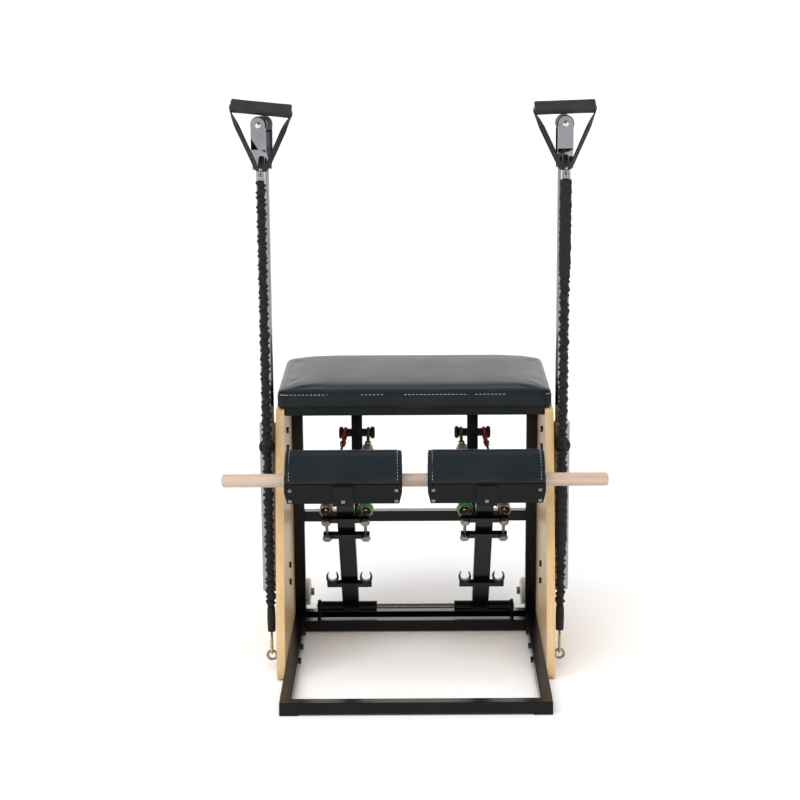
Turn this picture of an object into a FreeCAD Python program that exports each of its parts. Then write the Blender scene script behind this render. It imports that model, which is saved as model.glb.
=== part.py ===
import FreeCAD, Part
import math
import os

os.makedirs("parts", exist_ok=True)
V = FreeCAD.Vector

# Driving dimensions in millimetres.
# A name that ends in _back is a distance behind the front face of the base.

# Square tube frame
tube = 25.0
tube_wall = 2.0
frame_width = 570.0
foot_height = 4.0
foot_length = 40.0
upright_back = 586.0
crossbar_gap = 41.0
rail_tail = 19.0
middle_crossbar_z = 251.0
seat_frame_z = 561.0
seat_frame_back = 348.0
post_shift = 17.0

# Seat: a level is its height above the base or its drop below the crown, and how far it draws in
seat_overhang = 15.0
seat_front_overhang = 15.0
seat_depth = 339.0
seat_height = 46.0
seat_corner = 28.0
seat_least_corner = 1.0
seat_side_levels = ((0.0, 5.0), (5.0, 1.5), (14.0, 0.0))
seat_top_levels = ((20.0, 0.5), (11.0, 2.5), (6.0, 8.0), (2.5, 16.0), (0.0, 26.0))
seat_board_inset = 12.0
seat_board_thickness = 12.0
soft_clearance = 0.3

# Side panels
panel_thickness = 18.0
panel_foot_back = 197.0
panel_lead = 6.0
panel_bulge = 18.0
panel_tail = 61.0
panel_rise = 17.0
panel_corner = 12.0
rail_bolt_distances = (90.0, 181.0, 276.0)
bolt_d = 6.0
bolt_head_d = 14.0
bolt_head_height = 5.0
bolt_grip = 12.0

# Pedal hinge
axle_d = 12.0
hinge_lag = 38.0
hinge_z = 52.0
bracket_thickness = 8.0
bracket_crown = 16.0
bracket_inset = 30.0
axle_overhang = 2.0
hinge_tube_d = 25.0
hinge_tube_reach = 60.5
bush_d = 18.0
bush_length = 24.0
side_play = 0.5
running_fit = 0.05

# Pedal arm
arm_width = 38.0
arm_depth = 25.0
arm_wall = 2.0
cradle_width = 44.0
cradle_thickness = 5.0
cradle_lip = 3.0

# Pedal and dowel
dowel_back = 207.0
dowel_z = 452.0
dowel_d = 28.6
dowel_length = 826.0
dowel_chamfer = 2.0
dowel_clearance = 0.3
pedal_side_gap = 9.0
pedal_middle_gap = 54.0
pedal_depth = 115.0
pedal_floor = 36.0
pedal_shoulder = 5.0
pedal_rib = 22.0
pedal_lip = 8.0
pedal_taper = 6.0
pedal_taper_start = 12.0
cushion_round = 5.0
screw_d = 4.0
screw_length = 12.0
screw_head_d = 9.0
screw_head_height = 3.0
screw_margin = 12.0
screw_low_margin = 6.0

# Spring anchors and clips on the arm
anchor_bar_length = 102.0
anchor_bar_height = 16.0
anchor_bar_depth = 10.0
anchor_bar_s = 405.0
lower_bar_s = 341.0
clip_bar_s = 133.0
anchor_offset = 42.5
anchor_bolt_d = 6.5
anchor_nut_d = 18.0
anchor_nut_height = 7.0
joining_rod_d = 7.0
stud_ball_d = 12.0
stud_reach = 20.5
clip_d = 34.0
clip_bore = 20.0
clip_mouth = 15.0
clip_depth = 14.0
clip_offset = 38.5
clip_sink = 3.0

# Spring pegs and springs
peg_drop = 98.0
peg_d = 19.0
peg_half_length = 42.0
peg_disc_d = 29.0
peg_disc_thickness = 10.0
strap_offset = 26.5
strap_width = 7.0
strap_thickness = 2.5
strap_reach = 44.0
strap_fit = 0.8
fitting_pin_d = 7.0
fitting_ear = 4.0
fitting_d = 26.0
fitting_thickness = 14.0
fitting_gap = 12.0
outer_rod_length = 36.0
inner_rod_length = 2.0
fitting_rod_d = 6.0
spring_d = 30.0
spring_wire = 5.0
spring_bend = 6.0
spring_turns = 23
cup_length = 26.0
cup_floor = 6.0
cup_bore = 25.0
cup_mouth = 8.0

# Poles, sockets and knobs
pole_lag = 15.0
pole_d = 28.0
pole_wall = 2.0
pole_length = 706.0
pole_engagement = 125.0
pole_cap = 3.0
socket_d = 39.0
socket_gap = 0.5
socket_bottom_z = 159.0
socket_drop = 33.0
socket_floor = 5.0
flag_thickness = 4.0
flag_length = 62.0
flag_height = 64.0
low_flag_rise = 23.5
high_flag_drop = 49.5
flag_bolt_spacing = 40.0
flag_bolt_reach = 42.0
knob_drop = 47.0
knob_d = 36.0
knob_height = 13.0
knob_stem_d = 10.0
knob_backed_off = 4.0
boss_d = 20.0
boss_height = 13.0

# Fork, roller and handle
fork_width = 33.0
fork_plate = 4.0
fork_sink = 1.0
fork_half_gap = 20.0
fork_weld_length = 26.0
fork_jog = 17.0
roller_rise = 69.0
roller_d = 37.0
roller_groove = 4.0
roller_lip = 4.875
roller_pin_d = 8.0
left_fork_yaw = -15.0
right_fork_yaw = 2.0
grip_d = 29.6
grip_length = 130.0
grip_round = 3.7
grip_bore = 17.0
left_grip_tilt = 5.8
right_grip_tilt = -1.8
strap_band = 9.0
strap_depth = 12.0
strap_overhang = 5.0
strap_clearance = 1.5
strap_tail = 18.0

# Elastic ropes: a gather's profile gives shares of its length and of its swell
rope_top_rise = -22.0
rope_top_reach = 53.0
rope_foot_lag = 78.0
rope_foot_z = 89.0
ferrule_d = 15.0
ferrule_length = 20.0
ferrule_drop = 2.5
end_sleeve_d = 18.0
end_sleeve_length = 60.0
sleeve_d = 21.0
sleeve_waist = 16.0
sleeve_bore = 12.0
sleeve_gathers = 48
gather_profile = ((0.0, 0.0), (0.3, 0.8), (0.5, 1.0), (0.75, 0.7))
sleeve_top_gap = 1.0
cord_d = 10.0
cord_length = 330.0
eye_z = 35.0
eye_reach = 15.0
eye_hole = 14.0
eye_wire = 6.0
hook_width = 22.0
hook_bar = 5.0

# Transport wheels
wheel_d = 66.0
wheel_width = 23.0
wheel_reach = 49.0
wheel_z = 55.0
wheel_inset = 3.0
wheel_hub_d = 30.0
wheel_dish = 4.0
wheel_axle_d = 10.0
wheel_bracket = 5.0
wheel_bracket_gap = 2.0
wheel_bracket_round = 15.0
wheel_nut_d = 17.0
wheel_nut_height = 8.0

# Places that follow from the driving dimensions
half = frame_width / 2
floor_z = foot_height
rail_top = floor_z + tube
wheel_back = upright_back + tube + wheel_reach
front_y = -(wheel_back + wheel_d / 2) / 2
upright_y = front_y + upright_back
upright_rear = upright_y + tube
crossbar_y = upright_y - crossbar_gap - tube
seat_frame_y = front_y + seat_frame_back
seat_frame_top = seat_frame_z + tube
seat_width = frame_width + 2 * seat_overhang
seat_y0 = seat_frame_y - seat_front_overhang
seat_y1 = seat_y0 + seat_depth
panel_inner = half
panel_outer = half + panel_thickness
panel_top_z = seat_frame_z + panel_rise
panel_foot_y = front_y + panel_foot_back
hinge_y = crossbar_y + hinge_lag
bracket_inner_x = half - tube - bracket_inset - bracket_thickness
pedal_length = half - pedal_side_gap - pedal_middle_gap / 2
arm_x = half - pedal_side_gap - pedal_length / 2
hinge_tube_inner_x = arm_x - hinge_tube_reach
dowel_y = front_y + dowel_back
post_x = arm_x - post_shift
peg_y = upright_y + tube / 2
peg_z = seat_frame_z - peg_drop
socket_top_z = panel_top_z - socket_drop
flag_zs = (socket_bottom_z + low_flag_rise, socket_top_z - high_flag_drop)
knob_z = socket_top_z - knob_drop
pole_x = panel_outer + socket_gap + socket_d / 2
pole_y = seat_frame_y + pole_lag
pole_bottom_z = socket_top_z - pole_engagement
pole_top_z = pole_bottom_z + pole_length
roller_z = pole_top_z + roller_rise
rope_top_z = pole_top_z + rope_top_rise
wheel_inner_x = half - wheel_inset - wheel_bracket - wheel_bracket_gap - wheel_width
edge_tolerance = 0.1
x_axis = V(1, 0, 0)
y_axis = V(0, 1, 0)
z_axis = V(0, 0, 1)


def box(x0, x1, y0, y1, z0, z1):
    return Part.makeBox(x1 - x0, y1 - y0, z1 - z0, V(x0, y0, z0))


def rod(start, end, diameter):
    path = end - start
    return Part.makeCylinder(diameter / 2, path.Length, start, path)


def mirrored(shape):
    return shape.mirror(V(0, 0, 0), x_axis)


def both(shape):
    return [shape, mirrored(shape)]


def union(shapes):
    return shapes[0].multiFuse(shapes[1:]).removeSplitter()


def save(name, *solids):
    shape = solids[0] if len(solids) == 1 else Part.makeCompound(list(solids))
    shape.exportStep(os.path.join("parts", name + ".step"))


def square_tube(x0, x1, y0, y1, z0, z1, axis):
    """Hollow square tube that fills a box and is open along one axis."""
    inset = [0 if axis == k else tube_wall for k in range(3)]
    outer = box(x0, x1, y0, y1, z0, z1)
    inner = box(x0 + inset[0], x1 - inset[0], y0 + inset[1], y1 - inset[1], z0 + inset[2], z1 - inset[2])
    return outer.cut(inner)


def prism(points, path):
    """Solid from a closed outline of corners, pushed along a path."""
    return Part.Face(Part.makePolygon(points + points[:1])).extrude(path)


def hex_nut(start, path, across):
    """Hexagonal block with its axis along a path."""
    turn = FreeCAD.Rotation(z_axis, path)
    corners = []
    for k in range(6):
        angle = math.radians(60 * k)
        corner = V(math.cos(angle), math.sin(angle), 0) * (across / math.sqrt(3))
        corners.append(start + turn.multVec(corner))
    return prism(corners, path)


# Frame tubes
def base_rails():
    rail = square_tube(half - tube, half, front_y + tube, upright_rear + rail_tail, floor_z, rail_top, 1)
    for distance in rail_bolt_distances:
        y = panel_foot_y + distance
        z = floor_z + tube / 2
        rail = rail.cut(rod(V(half - tube, y, z), V(half, y, z), bolt_d))
    bracket_x = wheel_inner_x + wheel_width + wheel_bracket_gap
    axle = V(bracket_x, front_y + wheel_back, wheel_z)
    r = wheel_bracket_round
    plate = prism([V(bracket_x, upright_rear, rail_top),
                   V(bracket_x, upright_rear + rail_tail, rail_top),
                   V(bracket_x, axle.y, axle.z - r),
                   V(bracket_x, axle.y, axle.z + r),
                   V(bracket_x, upright_rear, axle.z + r)], V(wheel_bracket, 0, 0))
    plate = plate.fuse(rod(axle, axle + x_axis * wheel_bracket, 2 * r))
    plate = plate.cut(rod(axle, axle + x_axis * wheel_bracket, wheel_axle_d))
    return both(union([rail, plate]))


def cross_bars():
    inner = half - tube
    return [square_tube(-half, half, front_y, front_y + tube, floor_z, rail_top, 0),
            square_tube(-inner, inner, crossbar_y, crossbar_y + tube, floor_z, rail_top, 0),
            square_tube(-inner, inner, upright_y, upright_rear, floor_z, rail_top, 0),
            square_tube(-inner, inner, upright_y, upright_rear,
                        middle_crossbar_z, middle_crossbar_z + tube, 0)]


def uprights():
    return both(square_tube(half - tube, half, upright_y, upright_rear, rail_top, seat_frame_z, 2))


def spring_posts():
    post = square_tube(post_x - tube / 2, post_x + tube / 2, upright_y, upright_rear,
                       middle_crossbar_z + tube, seat_frame_z, 2)
    hole = rod(V(post_x - tube, peg_y, peg_z), V(post_x + tube, peg_y, peg_z), peg_d)
    return both(post.cut(hole))


def seat_frame():
    inner = half - tube
    front = square_tube(-half, half, seat_frame_y, seat_frame_y + tube, seat_frame_z, seat_frame_top, 0)
    rear = square_tube(-inner, inner, upright_y, upright_rear, seat_frame_z, seat_frame_top, 0)
    side = square_tube(inner, half, seat_frame_y + tube, upright_rear, seat_frame_z, seat_frame_top, 1)
    return [front, rear] + both(side)


def foot_pads():
    front = box(half - foot_length, half, front_y, front_y + tube, 0, foot_height)
    rear_end = upright_rear + rail_tail
    rear = box(half - tube, half, rear_end - foot_length, rear_end, 0, foot_height)
    return both(front) + both(rear)


save("base_rails", *base_rails())
save("cross_bars", *cross_bars())
save("uprights", *uprights())
save("spring_posts", *spring_posts())
save("seat_frame", *seat_frame())
save("foot_pads", *foot_pads())


# Seat: a plywood board that the upholstery wraps, with a crowned cushion
def rounded_outline(x, y0, y1, corner, z):
    """Rectangle with round corners at one height, centred on X."""
    c = corner
    k = corner * (1 - math.sqrt(0.5))
    lines = [(V(-x + c, y0, z), V(x - c, y0, z)), (V(x, y0 + c, z), V(x, y1 - c, z)),
             (V(x - c, y1, z), V(-x + c, y1, z)), (V(-x, y1 - c, z), V(-x, y0 + c, z))]
    middles = [V(x - k, y0 + k, z), V(x - k, y1 - k, z), V(-x + k, y1 - k, z), V(-x + k, y0 + k, z)]
    edges = []
    for index, (start, end) in enumerate(lines):
        edges.append(Part.LineSegment(start, end).toShape())
        edges.append(Part.Arc(end, middles[index], lines[(index + 1) % 4][0]).toShape())
    return Part.Wire(edges)


seat_base = seat_frame_top + soft_clearance
board_x = seat_width / 2 - seat_board_inset
board_y0 = seat_y0 + seat_board_inset
board_y1 = seat_y1 - seat_board_inset
board_corner = seat_corner - seat_board_inset


def seat_cushion():
    levels = list(seat_side_levels)
    levels += [(seat_height - drop, draw) for drop, draw in seat_top_levels]
    sections = []
    for rise, draw in levels:
        corner = max(seat_corner - draw, seat_least_corner)
        sections.append(rounded_outline(seat_width / 2 - draw, seat_y0 + draw, seat_y1 - draw,
                                        corner, seat_base + rise))
    crown = Part.makeLoft(sections, True, True)
    gap = soft_clearance
    pocket_face = Part.Face(rounded_outline(board_x + gap, board_y0 - gap, board_y1 + gap,
                                            board_corner + gap, seat_base))
    return crown.cut(pocket_face.extrude(V(0, 0, seat_board_thickness)))


def seat_board():
    outline = rounded_outline(board_x, board_y0, board_y1, board_corner, seat_frame_top)
    return Part.Face(outline).extrude(V(0, 0, seat_board_thickness))


save("seat_cushion", seat_cushion())
save("seat_board", seat_board())


# Side panels and their bolts
def panel_bolt_list():
    bolts = []
    rail_z = floor_z + tube / 2
    for distance in rail_bolt_distances:
        seat = V(half - tube, panel_foot_y + distance, rail_z)
        shank = rod(seat, seat + x_axis * (tube + bolt_grip), bolt_d)
        bolts.append(union([shank, rod(seat - x_axis * bolt_head_height, seat, bolt_head_d)]))
    for flag_z in flag_zs:
        for side in (-1, 1):
            z = flag_z + side * flag_bolt_spacing / 2
            inside = V(panel_inner, pole_y + flag_bolt_reach, z)
            outside = inside + x_axis * (panel_thickness + flag_thickness)
            shank = rod(inside, outside, bolt_d)
            head = rod(outside, outside + x_axis * bolt_head_height, bolt_head_d)
            nut = rod(inside - x_axis * bolt_head_height, inside, bolt_head_d)
            bolts.append(union([shank, head, nut]))
    return bolts


panel_bolts = panel_bolt_list()


def side_panel():
    x = panel_inner
    rear = upright_rear + panel_tail
    foot = V(x, panel_foot_y, floor_z)
    top = V(x, seat_y0 - panel_lead, panel_top_z)
    middle = (foot + top) * 0.5 - y_axis * panel_bulge
    rear_top = V(x, rear, panel_top_z)
    rear_foot = V(x, rear, floor_z)
    edges = [Part.Arc(foot, middle, top).toShape(),
             Part.LineSegment(top, rear_top).toShape(),
             Part.LineSegment(rear_top, rear_foot).toShape(),
             Part.LineSegment(rear_foot, foot).toShape()]
    panel = Part.Face(Part.Wire(edges)).extrude(V(panel_thickness, 0, 0))
    across = [e for e in panel.Edges if e.BoundBox.XLength > panel_thickness / 2]
    panel = panel.makeFillet(panel_corner, across)
    return panel.cut(Part.makeCompound(panel_bolts))


right_panel = side_panel()
save("right_side_panel", right_panel)
save("left_side_panel", mirrored(right_panel))
save("panel_bolts", *(panel_bolts + [mirrored(bolt) for bolt in panel_bolts]))


# Hinge axle and its brackets
hinge_point = V(0, hinge_y, hinge_z)
bracket_outer_x = bracket_inner_x + bracket_thickness
axle_reach = x_axis * (bracket_outer_x + axle_overhang)
save("hinge_axle", rod(hinge_point - axle_reach, hinge_point + axle_reach, axle_d))


def hinge_bracket():
    x = bracket_inner_x
    crown_front = V(x, hinge_y - bracket_crown, hinge_z)
    crown_rear = V(x, hinge_y + bracket_crown, hinge_z)
    crown_top = V(x, hinge_y, hinge_z + bracket_crown)
    foot_front = V(x, crossbar_y, rail_top)
    foot_rear = V(x, upright_rear, rail_top)
    edges = [Part.LineSegment(foot_rear, foot_front).toShape(),
             Part.LineSegment(foot_front, crown_front).toShape(),
             Part.Arc(crown_front, crown_top, crown_rear).toShape(),
             Part.LineSegment(crown_rear, foot_rear).toShape()]
    plate = Part.Face(Part.Wire(edges)).extrude(x_axis * bracket_thickness)
    return plate.cut(rod(hinge_point, hinge_point + axle_reach, axle_d))


save("hinge_brackets", *both(hinge_bracket()))

# Pedal arm frame: local Z runs up the arm, local Y points back and up, local X is the chair's X
arm_rise = dowel_z - hinge_z
arm_run = hinge_y - dowel_y
arm_lean = math.degrees(math.atan2(arm_run, arm_rise))
arm_length = math.hypot(arm_run, arm_rise)
arm_place = FreeCAD.Placement(hinge_point, FreeCAD.Rotation(x_axis, arm_lean))
arm_front = -arm_depth / 2


def on_arm(shape):
    return shape.transformed(arm_place.toMatrix())


def arm_point(x, depth, s):
    return arm_place.multVec(V(x, depth, s))


cradle_z = dowel_z - pedal_floor - cradle_thickness
cradle_half = pedal_depth / 2 + cradle_thickness
pedal_front = dowel_y - pedal_depth / 2


def pedal_screw_list():
    """Screws in the front face of the pedal box, and one through the cradle."""
    heads = []
    for side in (-1, 1):
        x = arm_x + side * (pedal_length / 2 - screw_margin)
        for z in (dowel_z + pedal_shoulder - screw_margin, dowel_z - pedal_floor + screw_low_margin):
            heads.append(V(x, pedal_front, z))
    heads.append(V(arm_x, pedal_front - cradle_thickness, dowel_z - pedal_floor + screw_low_margin))
    screws = []
    for head in heads:
        cap = rod(head - y_axis * screw_head_height, head, screw_head_d)
        screws.append(union([cap, rod(head, head + y_axis * screw_length, screw_d)]))
    return screws


pedal_screws = pedal_screw_list()
screw_group = Part.makeCompound(pedal_screws)


def anchor_bolt_list():
    """Ball studs of the springs, plain bolts of the lower bar, and the rods between the bars."""
    bar_front = arm_front - anchor_bar_depth
    pieces = []
    for side in (-1, 1):
        x = arm_x + side * anchor_offset
        ball = V(x, arm_front + stud_reach, anchor_bar_s)
        nut_seat = V(x, bar_front, anchor_bar_s)
        stud = union([hex_nut(nut_seat, V(0, -anchor_nut_height, 0), anchor_nut_d),
                      rod(nut_seat, ball, anchor_bolt_d),
                      Part.makeSphere(stud_ball_d / 2, ball)])
        low_seat = V(x, bar_front, lower_bar_s)
        low_bolt = union([hex_nut(low_seat, V(0, -anchor_nut_height, 0), anchor_nut_d),
                          rod(low_seat, low_seat + y_axis * anchor_bar_depth, anchor_bolt_d)])
        rod_y = arm_front - anchor_bar_depth / 2
        joining = rod(V(x, rod_y, lower_bar_s + anchor_bar_height / 2),
                      V(x, rod_y, anchor_bar_s - anchor_bar_height / 2), joining_rod_d)
        pieces += [on_arm(stud), on_arm(low_bolt), on_arm(joining)]
    return pieces


anchor_bolts = anchor_bolt_list()


def hinge_tube_bore():
    start = V(hinge_tube_inner_x, hinge_y, hinge_z)
    return rod(start, V(bracket_inner_x, hinge_y, hinge_z), bush_d)


def pedal_arm():
    """Arm tube, hinge tube, pedal cradle and cross bars, welded together."""
    reach = arm_length + pedal_depth
    x0 = arm_x - arm_width / 2
    x1 = arm_x + arm_width / 2
    w = arm_wall
    outer = box(x0, x1, arm_front, -arm_front, 0, reach)
    inner = box(x0 + w, x1 - w, arm_front + w, -arm_front - w, 0, reach)
    above = box(x0, x1, dowel_y - reach, dowel_y + reach, cradle_z, cradle_z + reach)
    tube_start = V(hinge_tube_inner_x, hinge_y, hinge_z)
    tube_end = V(bracket_inner_x - side_play, hinge_y, hinge_z)
    hinge_tube = rod(tube_start, tube_end, hinge_tube_d)
    arm = on_arm(outer.cut(inner)).cut(above)
    bars = []
    for s in (anchor_bar_s, lower_bar_s, clip_bar_s):
        bars.append(on_arm(box(arm_x - anchor_bar_length / 2, arm_x + anchor_bar_length / 2,
                               arm_front - anchor_bar_depth, arm_front,
                               s - anchor_bar_height / 2, s + anchor_bar_height / 2)))
    c0 = arm_x - cradle_width / 2
    c1 = arm_x + cradle_width / 2
    y0 = dowel_y - cradle_half
    y1 = dowel_y + cradle_half
    lip = dowel_z + pedal_shoulder - cradle_lip
    cradle = box(c0, c1, y0, y1, cradle_z, lip)
    cradle = cradle.cut(box(c0, c1, y0 + cradle_thickness, y1 - cradle_thickness,
                            cradle_z + cradle_thickness, lip))
    welded = union([arm, hinge_tube, cradle] + bars).cut(hinge_tube_bore())
    return welded.cut(Part.makeCompound(pedal_screws + anchor_bolts))


def hinge_bush_list():
    bushes = []
    ends = ((hinge_tube_inner_x, 1), (bracket_inner_x - side_play, -1))
    for x, inward in ends:
        start = V(x, hinge_y, hinge_z)
        end = start + x_axis * (inward * bush_length)
        bushes.append(rod(start, end, bush_d).cut(rod(start, end, axle_d + 2 * running_fit)))
    return bushes


def pedal_box():
    x0 = arm_x - pedal_length / 2
    x1 = arm_x + pedal_length / 2
    top = dowel_z + pedal_shoulder
    knee = dowel_z - pedal_taper_start
    low = dowel_z - pedal_floor
    y = pedal_front
    body = prism([V(x0, y, top), V(x1, y, top), V(x1, y, knee), V(x1 - pedal_taper, y, low),
                  V(x0 + pedal_taper, y, low), V(x0, y, knee)], V(0, pedal_depth, 0))
    rib = box(x0, x1, y + pedal_lip, y + pedal_depth - pedal_lip, top, dowel_z + pedal_rib)
    duct = dowel_d / 2 + dowel_clearance
    channel = box(x0, x1, dowel_y - duct, dowel_y + duct, dowel_z - duct, dowel_z + duct)
    return union([body, rib]).cut(channel).cut(screw_group)


def pedal_cushion():
    """Half-round pad that wraps the rib of the pedal box, with soft end edges."""
    x0 = arm_x - pedal_length / 2
    r = pedal_depth / 2
    base = dowel_z + pedal_shoulder + soft_clearance
    k = r * math.sqrt(0.5)
    rib = r - pedal_lip + soft_clearance
    roof = dowel_z + pedal_rib + soft_clearance
    front = V(x0, dowel_y - r, base)
    rear = V(x0, dowel_y + r, base)
    top = V(x0, dowel_y, base + r)
    corners = [rear, V(x0, dowel_y + rib, base), V(x0, dowel_y + rib, roof),
               V(x0, dowel_y - rib, roof), V(x0, dowel_y - rib, base), front]
    edges = [Part.Arc(front, V(x0, dowel_y - k, base + k), top).toShape(),
             Part.Arc(top, V(x0, dowel_y + k, base + k), rear).toShape()]
    edges += [Part.LineSegment(a, b).toShape() for a, b in zip(corners, corners[1:])]
    pad = Part.Face(Part.Wire(edges)).extrude(V(pedal_length, 0, 0))
    rims = [e for e in pad.Edges if e.BoundBox.XLength < edge_tolerance and hasattr(e.Curve, "Radius")]
    return pad.makeFillet(cushion_round, rims)


def clip_list():
    """Open clips that stand on the clip bar, with their mouths straight up."""
    clips = []
    base_s = clip_bar_s + anchor_bar_height / 2
    for side in (-1, 1):
        foot = V(arm_x + side * clip_offset, arm_front - anchor_bar_depth / 2, base_s)
        centre = foot + V(0, -clip_depth / 2, clip_d / 2 - clip_sink)
        end = centre + y_axis * clip_depth
        ring = rod(centre, end, clip_d).cut(rod(centre, end, clip_bore))
        mouth = box(centre.x - clip_mouth / 2, centre.x + clip_mouth / 2, centre.y, end.y,
                    centre.z, centre.z + clip_d)
        clip = ring.cut(mouth)
        clip.rotate(foot, x_axis, -arm_lean)
        under = box(foot.x - clip_d, foot.x + clip_d, foot.y - clip_d, foot.y + clip_d,
                    base_s - clip_d, base_s)
        clips.append(on_arm(clip.cut(under)))
    return clips


right_pedal = {"pedal_arm": [pedal_arm()], "hinge_bushes": hinge_bush_list(),
               "pedal_box": [pedal_box()], "pedal_cushion": [pedal_cushion()],
               "pedal_screws": pedal_screws, "spring_anchor_bolts": anchor_bolts,
               "rod_clips": clip_list()}
for piece, solids in right_pedal.items():
    save("right_" + piece, *solids)
    save("left_" + piece, *[mirrored(solid) for solid in solids])


def wooden_dowel():
    reach = x_axis * (dowel_length / 2)
    centre = V(0, dowel_y, dowel_z)
    dowel = rod(centre - reach, centre + reach, dowel_d)
    rims = [e for e in dowel.Edges if e.BoundBox.XLength < edge_tolerance]
    return dowel.makeChamfer(dowel_chamfer, rims)


save("wooden_dowel", wooden_dowel())


# Spring pegs
def peg_bar():
    reach = x_axis * peg_half_length
    centre = V(post_x, peg_y, peg_z)
    pieces = [rod(centre - reach, centre + reach, peg_d)]
    for side in (-1, 1):
        end = centre + reach * side
        disc = rod(end - x_axis * (side * peg_disc_thickness), end, peg_disc_d)
        outer_rim = [e for e in disc.Edges if abs(e.BoundBox.Center.x - end.x) < edge_tolerance]
        pieces.append(disc.makeFillet(peg_disc_thickness / 2, outer_rim))
    return union(pieces)


save("spring_peg_bars", *both(peg_bar()))


# Springs: strap loop on the peg, fitting, coil and end cup, laid out along one line per spring
def arc_middle(start, corner, end):
    """Middle point of the arc that leaves start and reaches end along the two legs of a corner."""
    chord_middle = (start + end) * 0.5
    turn = (corner - start).getAngle(end - corner)
    return chord_middle + (corner - chord_middle) * (math.tan(turn / 4) / math.tan(turn / 2))


def biarc(start, start_way, end, end_way):
    """Two tangent arcs that join two points and their directions."""
    gap = end - start
    ways = start_way + end_way
    spread = 2 * (1 - start_way.dot(end_way))
    along = gap.dot(ways)
    leg = (math.sqrt(along * along + spread * gap.dot(gap)) - along) / spread
    first = start + start_way * leg
    last = end - end_way * leg
    joint = (first + last) * 0.5
    return [Part.Arc(start, arc_middle(start, first, joint), joint).toShape(),
            Part.Arc(joint, arc_middle(joint, last, end), end).toShape()]


def coil(length):
    """Spring along local Z from 0 to length, with straight wire ends square to its two seats."""
    radius = (spring_d - spring_wire) / 2
    lead = spring_wire + spring_bend
    climb = length - 2 * lead
    pitch = climb / spring_turns
    rise = pitch / (2 * math.pi * radius)
    slope = math.sqrt(1 + rise * rise)

    def helix(turns):
        angle = 2 * math.pi * turns
        point = V(radius * math.cos(angle), radius * math.sin(angle), lead + pitch * turns)
        way = V(-math.sin(angle), math.cos(angle), rise) * (1 / slope)
        return point, way

    def end_bend(turns, up):
        point, way = helix(turns)
        foot = point + way * (spring_bend * up)
        foot.z = point.z + up * spring_bend
        seat = V(foot.x, foot.y, foot.z + up * spring_wire)
        return point, way, foot, seat

    steps = [index / 2 for index in range(2 * spring_turns + 1)]
    edges = []
    for a, b in zip(steps, steps[1:]):
        edges += biarc(*helix(a), *helix(b))
    point, way, foot, seat = end_bend(0, -1)
    lower = [Part.LineSegment(seat, foot).toShape()] + biarc(foot, z_axis, point, way)
    point, way, foot, seat_top = end_bend(spring_turns, 1)
    upper = biarc(point, way, foot, z_axis) + [Part.LineSegment(foot, seat_top).toShape()]
    path = Part.Wire(lower + edges + upper)
    ring = Part.Wire(Part.makeCircle(spring_wire / 2, seat, z_axis))
    shape = path.makePipeShell([ring], True, False)
    spots = Part.Wire(edges).discretize(Distance=spring_wire / 2)
    apart = int(math.pi * radius / (spring_wire / 2))
    nearest = min((p - q).Length for i, p in enumerate(spots) for q in spots[i + apart:])
    print("spring turns", spring_turns, "least gap between turns", round(nearest - spring_wire, 2))
    return shape


def spring_line(strap_x, side):
    """Placement with its origin on the peg, local Z towards the anchor ball, and its length."""
    peg = V(strap_x, peg_y, peg_z)
    ball = arm_point(arm_x + side * anchor_offset, arm_front + stud_reach, anchor_bar_s)
    path = ball - peg
    flat = V(0, path.y, path.z)
    swing = FreeCAD.Rotation(x_axis, math.degrees(math.atan2(-flat.y, flat.z)))
    toe = FreeCAD.Rotation(y_axis, math.degrees(math.atan2(path.x, flat.Length)))
    return FreeCAD.Placement(peg, swing.multiply(toe)), path.Length


def strap_loop():
    """Flat band round the peg and the fitting's pin, seen along local X."""
    big = peg_d / 2 + strap_fit
    small = fitting_pin_d / 2 + soft_clearance
    half_width = x_axis * (strap_width / 2)

    def band(grow):
        r0 = big + grow
        r1 = small + grow
        side = math.asin((r0 - r1) / strap_reach)
        y0, z0 = r0 * math.cos(side), r0 * math.sin(side)
        y1, z1 = r1 * math.cos(side), strap_reach + r1 * math.sin(side)
        wire = Part.Wire([Part.Arc(V(0, y0, z0), V(0, 0, -r0), V(0, -y0, z0)).toShape(),
                          Part.LineSegment(V(0, -y0, z0), V(0, -y1, z1)).toShape(),
                          Part.Arc(V(0, -y1, z1), V(0, 0, strap_reach + r1), V(0, y1, z1)).toShape(),
                          Part.LineSegment(V(0, y1, z1), V(0, y0, z0)).toShape()])
        return Part.Face(wire).extrude(half_width * 2)

    loop = band(strap_thickness).cut(band(0))
    loop.translate(half_width * -1)
    return loop


def top_fitting(rod_length):
    """Pin between two ears on a neck, a rod and the plug that the coil pulls on."""
    ear_x = strap_width / 2 + soft_clearance
    pin_reach = x_axis * (ear_x + fitting_ear)
    pin = V(0, 0, strap_reach)
    neck_z = strap_reach + fitting_gap
    pieces = [rod(pin - pin_reach, pin + pin_reach, fitting_pin_d)]
    for side in (-1, 1):
        x0, x1 = sorted((side * ear_x, side * (ear_x + fitting_ear)))
        pieces.append(box(x0, x1, -fitting_pin_d / 2, fitting_pin_d / 2,
                          strap_reach, neck_z + fitting_ear))
    pieces.append(box(-pin_reach.x, pin_reach.x, -fitting_pin_d / 2, fitting_pin_d / 2,
                      neck_z, neck_z + fitting_ear))
    plug_z = neck_z + fitting_ear + rod_length
    pieces.append(rod(V(0, 0, neck_z), V(0, 0, plug_z), fitting_rod_d))
    pieces.append(rod(V(0, 0, plug_z), V(0, 0, plug_z + fitting_thickness), fitting_d))
    return union(pieces), plug_z + fitting_thickness


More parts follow.
